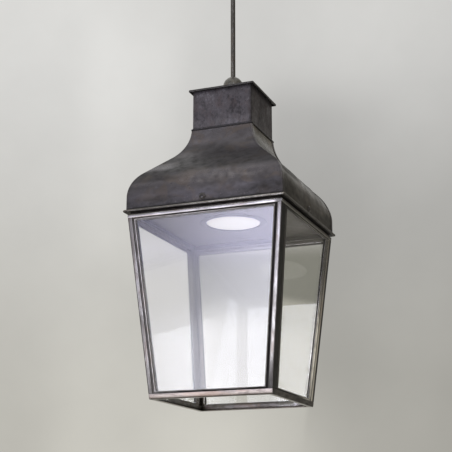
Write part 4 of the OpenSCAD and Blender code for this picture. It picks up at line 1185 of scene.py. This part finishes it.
def world():
    """Pale room: brighter to the left and overhead, dimmer to the right."""
    w = bpy.data.worlds.new("room")
    bpy.context.scene.world = w
    w.use_nodes = True
    g = Graph(w.node_tree)
    d = g.vec("NORMALIZE", g.node("ShaderNodeTexCoord").outputs["Generated"])
    yaw, pitch = math.radians(21.77), math.radians(15.23)
    right = (math.cos(yaw), math.sin(yaw), 0.0)
    ahead = (-math.sin(yaw) * math.cos(pitch), math.cos(yaw) * math.cos(pitch), math.sin(pitch))
    above = (math.sin(yaw) * math.sin(pitch), -math.cos(yaw) * math.sin(pitch), math.cos(pitch))
    s = g.vec("DOT_PRODUCT", d, right)
    z = g.node("ShaderNodeSeparateXYZ", {0: d}).outputs[2]
    level = g.span(s, -0.30, 0.36, 0.66, 0.40)
    level = g.math("MULTIPLY", level, g.span(s, 0.4, 0.95, 1.0, 0.75))
    low = g.span(z, 0.22, 0.46, 0.94, 1.16)
    level = g.math("MULTIPLY", level, low)
    level = g.math("MULTIPLY", level, g.span(z, 0.55, 0.85, 1.0, 1.3))
    # the wall is lighter high on the right and below the lantern, darker low on the right
    lift = g.math("MULTIPLY", g.math("MULTIPLY", g.span(s, 0.0, 0.16), g.span(z, 0.24, 0.44)), 0.20)
    lift = g.math("ADD", lift, g.math("MULTIPLY", g.math("MULTIPLY", g.span(g.math("ABSOLUTE", s), 0.10, 0.0), g.span(z, 0.16, 0.07)), 0.17))
    lift = g.math("ADD", lift, g.math("MULTIPLY", g.math("MULTIPLY", g.span(s, 0.06, 0.12), g.span(z, 0.22, 0.10)), -0.07))
    level = g.math("MULTIPLY", level, g.math("ADD", 1.0, lift))
    cloud = g.noise(3.2, 4, 0.55, at=d)
    plaster = g.noise(26.0, 5, 0.6, at=d)
    level = g.math("MULTIPLY", level, g.span(cloud, 0.3, 0.7, 0.97, 1.03, smooth=False))
    level = g.math("MULTIPLY", level, g.span(plaster, 0.3, 0.7, 0.985, 1.015, smooth=False))
    warm = g.mix(g.span(z, 0.4, 0.05), (1.0, 0.993, 0.965), (1.0, 0.975, 0.885))
    # a dim part of the wall behind the lantern, seen through its panes
    front = g.vec("DOT_PRODUCT", d, ahead)
    px = g.math("DIVIDE", s, g.math("MAXIMUM", front, 0.05))
    py = g.math("DIVIDE", g.vec("DOT_PRODUCT", d, above), g.math("MAXIMUM", front, 0.05))
    lean = g.math("ADD", px, g.math("MULTIPLY", py, -0.1))
    # the wall is a little dimmer to the right of the lantern and at the far left, lighter left of the roof
    upper = g.span(py, -0.005, 0.01)
    edge = g.math("ADD", g.math("MULTIPLY", upper, g.span(px, 0.02, 0.05)), g.math("MULTIPLY", g.math("SUBTRACT", 1.0, upper), g.span(lean, 0.0865, 0.0925)))
    halo = g.math("MULTIPLY", g.math("MULTIPLY", edge, g.span(px, 0.19, 0.07)), g.math("MULTIPLY", g.span(py, 0.15, 0.09), g.span(py, -0.22, -0.11)))
    level = g.math("MULTIPLY", level, g.math("SUBTRACT", 1.0, g.math("MULTIPLY", halo, 0.20)))
    corner = g.math("MULTIPLY", g.span(px, -0.115, -0.20), g.math("ADD", 0.06, g.span(py, 0.03, -0.18, 0.0, 0.11)))
    level = g.math("MULTIPLY", level, g.math("SUBTRACT", 1.0, corner))
    patch = g.math("MULTIPLY", g.span(g.math("ABSOLUTE", g.math("ADD", px, 0.085)), 0.062, 0.018), g.math("MULTIPLY", g.span(py, -0.06, 0.0), g.span(py, 0.23, 0.13)))
    level = g.math("MULTIPLY", level, g.math("ADD", 1.0, g.math("MULTIPLY", patch, 0.09)))
    dim = g.math("MULTIPLY", g.span(px, -0.034, -0.026), g.span(lean, 0.0925, 0.0865))
    beside = g.span(px, 0.044, 0.052)
    foot_back = g.math("MULTIPLY", g.math("SUBTRACT", 1.0, beside), g.span(py, -0.100, -0.054))
    foot_side = g.math("MULTIPLY", g.math("MULTIPLY", beside, g.span(py, -0.108, -0.082, 0.3, 1.0)), g.span(py, -0.158, -0.148))
    dim = g.math("MULTIPLY", dim, g.math("MULTIPLY", g.span(py, -0.012, -0.030), g.math("ADD", foot_back, foot_side)))
    level = g.math("MULTIPLY", level, g.math("SUBTRACT", 1.0, g.math("MULTIPLY", dim, g.span(px, 0.044, 0.052, 0.68, 0.42))))
    warm = g.mix(g.math("MULTIPLY", dim, 0.8), warm, (1.0, 1.0, 0.85))
    # an unlit corner of the room, far to the right
    dusk = g.span(g.vec("DOT_PRODUCT", d, (0.340, 0.922, 0.185)), 0.93, 0.985)
    low = g.math("MULTIPLY", dusk, g.math("MULTIPLY", g.span(z, 0.136, 0.126), g.span(z, -0.06, 0.02)))
    dusk = g.math("MULTIPLY", dusk, g.math("MULTIPLY", g.span(z, 0.126, 0.136), g.span(z, 0.235, 0.205)))
    level = g.math("MULTIPLY", level, g.math("SUBTRACT", 1.0, g.math("MULTIPLY", dusk, 0.50)))
    level = g.math("MULTIPLY", level, g.math("ADD", 1.0, g.math("MULTIPLY", low, 1.2)))
    aside = g.math("MULTIPLY", g.span(s, 0.40, 0.62), g.span(z, 0.20, 0.25))
    level = g.math("MULTIPLY", level, g.math("SUBTRACT", 1.0, g.math("MULTIPLY", aside, 0.42)))
    warm = g.mix(g.span(s, 0.40, 0.62), warm, (1.0, 0.95, 0.83))
    bg = g.node("ShaderNodeBackground", {"Color": warm, "Strength": level})
    out = g.node("ShaderNodeOutputWorld")
    g.t.links.new(bg.outputs[0], out.inputs[0])


world()

# ------------------------------------------------------------------- camera

cam_data = bpy.data.cameras.new("camera")
cam_data.lens = 88.4
cam_data.sensor_width = 36.0
cam_data.clip_end = 100
cam = bpy.data.objects.new("camera", cam_data)
bpy.context.scene.collection.objects.link(cam)
cam.location = (0.7985, -2.040, -1.201)
cam.rotation_euler = (math.radians(90 + 15.23), 0, math.radians(21.77))
bpy.context.scene.camera = cam
bpy.context.scene.view_settings.view_transform = "Standard"

low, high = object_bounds()
